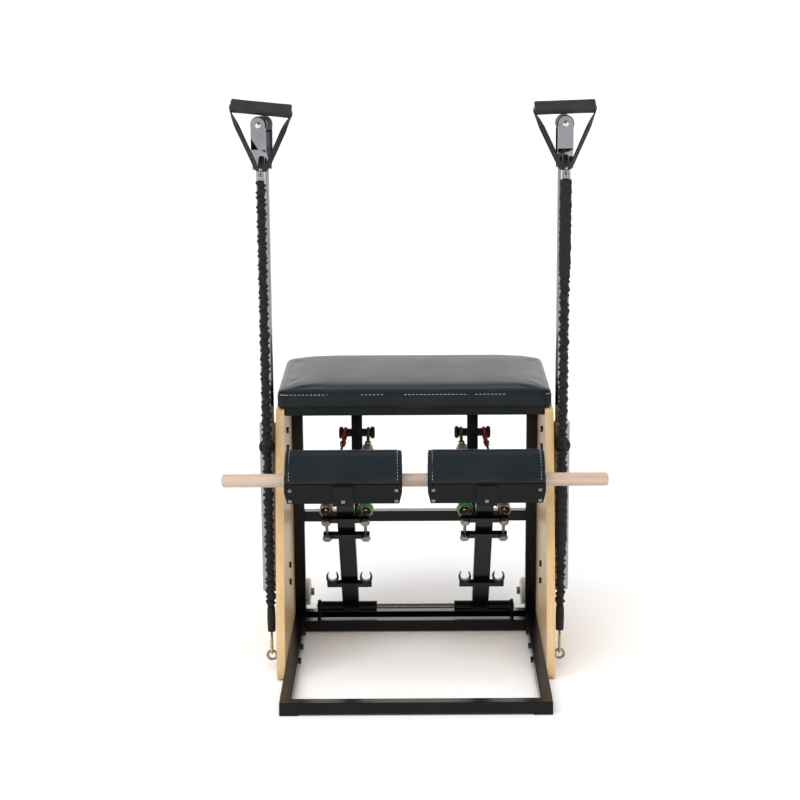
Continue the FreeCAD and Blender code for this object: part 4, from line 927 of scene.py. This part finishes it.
for side, k in sides:
    aside = Vector((k * pad["armX"], 0, 0))
    mesh = padForm.data.copy()
    mesh.transform(Matrix.Translation(aside))
    cushion = bpy.data.objects.new(side + "PedalCushion", mesh)
    scene.collection.objects.link(cushion)
    place(cushion, side + "_pedal", "seat_vinyl", side + "_pedal_cushion")
    stitches(side + "PedalStitching", [(p + aside, out, along) for p, out, along in padStitches], pad, side + "_pedal")
bpy.data.objects.remove(padForm)
print("pedal cushions ready")


# open clips standing on the pedal arms, drawn to horn tips, each held by a small bolt under its bar
clip = {"arm": 0.1515, "aside": 0.0385, "hinge": (0.2115, 0.052), "lean": 41.267, "front": 0.0175, "along": 0.141,
        "rise": 0.014, "bore": 0.0101, "wall": 0.0068, "tipWall": 0.0014, "open": 138, "depth": 0.014, "round": 0.0006,
        "taper": 1.6, "flare": 0.0016, "flareFrom": 0.8, "narrow": 0.45, "narrowFrom": 0.7, "halfSteps": 16,
        "boltAlong": 0.1235, "bolt": ((0.0005, -0.0042), (0.0026, -0.0040), (0.0036, -0.0030), (0.0038, 0.0016))}
armWay = Vector((0, -math.sin(math.radians(clip["lean"])), math.cos(math.radians(clip["lean"]))))
armFront = Vector((0, -armWay.z, armWay.y))
armFoot = Vector((0, *clip["hinge"])) + armFront * clip["front"]


def beyond(share, start):
    # 0 up to the start, then 0 to 1 out to the tip
    return max(0, abs(share) - start) / (1 - start)


for side, k in sides:
    for name, offset in (("Inner", -1), ("Outer", 1)):
        foot = armFoot + Vector((k * (clip["arm"] + offset * clip["aside"]), 0, 0)) + armWay * clip["along"]
        middle = foot + Vector((0, 0, clip["rise"]))
        spots, rings = [], []
        for step in range(2 * clip["halfSteps"] + 1):
            share = step / clip["halfSteps"] - 1
            turn = math.radians(clip["open"]) * share
            spoke = Vector((math.sin(turn), 0, -math.cos(turn)))
            wall = clip["tipWall"] + (clip["wall"] - clip["tipWall"]) * (1 - abs(share) ** clip["taper"])
            flare = clip["flare"] * beyond(share, clip["flareFrom"])
            spots.append((middle + spoke * (clip["bore"] + wall / 2 + flare), spoke, Vector((0, -1, 0))))
            half = clip["depth"] / 2 * (1 - clip["narrow"] * beyond(share, clip["narrowFrom"]))
            w, c = wall / 2, clip["round"]
            rings.append([(-w, -half + c), (-w + c, -half), (w - c, -half), (w, -half + c),
                          (w, half - c), (w - c, half), (-w + c, half), (-w, half - c)])
        holder = sweep(side + name + "Clip", spots, rings, blackAbs)
        place(holder, side + "_pedal", "clip_plastic", side + "_rod_clips")
        boltSpot = foot + armWay * (clip["boltAlong"] - clip["along"])
        bolt = turned(side + name + "ClipBolt", clip["bolt"], boltSpot, armWay, nickelBrass, steps=6, crease=30)
        place(bolt, side + "_pedal", "bolt_steel")

# fork pins: domed heads on both plates of each fork
forkPin = {"z": 1.195, "face": 0.024, "yaw": {"left": -15, "right": 2},
           "head": ((0.0070, 0), (0.0070, 0.0012), (0.0062, 0.0022), (0.0044, 0.0031), (0.0020, 0.0036),
                    (0.0003, 0.0037))}
for side, k in sides:
    facing = Matrix.Rotation(math.radians(forkPin["yaw"][side]), 3, "Z") @ Vector((0, -1, 0))
    for name, end in (("Front", 1), ("Back", -1)):
        spot = Vector((k * handle["poleX"], handle["poleY"], forkPin["z"])) + facing * (end * forkPin["face"])
        head = turned(side + name + "ForkPin", forkPin["head"], spot, facing * end, brightSteel, steps=32)
        place(head, side + "_pole", "chrome")

# pedal screws: pan heads with a cross recess, drawn as shares of the head's radius and height
screw = {"arm": 0.1515, "half": 0.1125, "frontY": -0.197, "rows": (0.445, 0.422), "strapY": -0.202, "head": 0.0043,
         "high": 0.0027, "recess": (4, 0.1),
         "profile": ((1, 0), (1, 0.35), (0.9, 0.62), (0.66, 0.86), (0.4, 0.97), (0.34, 0.5), (0.05, 0.4))}
screwProfile = [(screw["head"] * wide, screw["high"] * rise) for wide, rise in screw["profile"]]
for side, k in sides:
    heads = [(screw["arm"] + end * screw["half"], screw["frontY"], z) for end in (-1, 1) for z in screw["rows"]]
    heads.append((screw["arm"], screw["strapY"], screw["rows"][1]))
    for number, (x, y, z) in enumerate(heads, 1):
        head = turned(side + "PedalScrew" + str(number), screwProfile, (k * x, y, z), (0, -1, 0), zincPlate, steps=28,
                      lobes=(screw["recess"][0], screw["head"] * screw["recess"][1]))
        place(head, side + "_pedal", "bolt_steel", side + "_pedal_screws")
print("clips, pins and screws ready")


# wooden dowel through both pedals, its ends rounded over
dowel = {"half": 0.413, "radius": 0.0143, "round": 0.0075, "roundReach": 0.85, "middle": (-0.1395, 0.452)}
over = roundedOver(dowel["radius"], dowel["round"], dowel["round"] * dowel["roundReach"], 10)
rod = over + [(dowel["radius"], dowel["half"])] + [(r, 2 * dowel["half"] - x) for r, x in reversed(over)]
bar = turned("dowel", rod, (-dowel["half"], *dowel["middle"]), (1, 0, 0), oiledMaple, steps=48, crease=60)
place(bar, "dowel", "dowel_maple", "wooden_dowel")
print("dowel ready")


# CAD nodes that stay, with their finishes and the rounding of their edges in millimetres
edges = {"weld": 0.02, "flat": 1, "segments": 3, "sharp": 40}  # welded within mm, faces merged and edges met by degrees
finishes = (
    (powderCoat, 1.6, ("base_rails", "cross_bars", "uprights", "spring_posts", "seat_frame", "left_pedal_arm",
                       "right_pedal_arm")),
    (powderCoat, 0.6, ("hinge_brackets",)),
    (blackAbs, 2.4, ("spring_peg_bars",)),
    (blackAbs, 1.6, ("left_lock_knob", "right_lock_knob")),
    (blackAbs, 0, ("left_fork_roller", "right_fork_roller")),
    (lacqueredMaple, 1.5, ("left_side_panel", "right_side_panel")),
    (birchPlywood, 0.8, ("seat_board",)),
    (blackMelamine, 0.8, ("left_pedal_box", "right_pedal_box")),
    (chromePlate, 0, ("pole_sockets", "left_pole", "right_pole")),
    (blackenedSteel, 0, ("panel_bolts",)),
    (zincPlate, 0, ("hinge_axle", "rope_eye_bolts", "wheel_axles", "left_spring_anchor_bolts",
                    "right_spring_anchor_bolts")),
    (mouldedRubber, 0.8, ("foot_pads",)),
    (whiteAcetal, 0, ("left_hinge_bushes", "right_hinge_bushes")),
    (greyNylon, 0, ("left_wheel", "right_wheel")))
# a modifier that drops a node's own facet normals, so that its rounded edges shade smoothly
shading = bpy.data.node_groups.new("smoothShading", "GeometryNodeTree")
for way in ("INPUT", "OUTPUT"):
    shading.interface.new_socket("Geometry", in_out=way, socket_type="NodeSocketGeometry")
solid = addNode(shading, "NodeGroupInput").outputs["Geometry"]
bare = addNode(shading, "GeometryNodeRemoveAttribute", values={"Name": "custom_normal"}, links={"Geometry": solid})
even = addNode(shading, "GeometryNodeSetShadeSmooth", links={"Geometry": bare.outputs["Geometry"]})
addNode(shading, "NodeGroupOutput", links={"Geometry": even.outputs["Geometry"]})
for material, width, names in finishes:
    for name in names:
        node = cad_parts[name]
        node.data.materials.clear()
        node.data.materials.append(material)
        if width:
            node.modifiers.new("shading", "NODES").node_group = shading
            weld = node.modifiers.new("weld", "WELD")
            weld.merge_threshold = edges["weld"] * mm
            merge = node.modifiers.new("merge", "DECIMATE")
            merge.decimate_type = "DISSOLVE"
            merge.angle_limit = math.radians(edges["flat"])
            bevel = node.modifiers.new("bevel", "BEVEL")
            bevel.width = width * mm
            bevel.segments = edges["segments"]
            bevel.limit_method = "ANGLE"
            bevel.angle_limit = math.radians(edges["sharp"])
            bevel.harden_normals = True
print("CAD nodes finished")
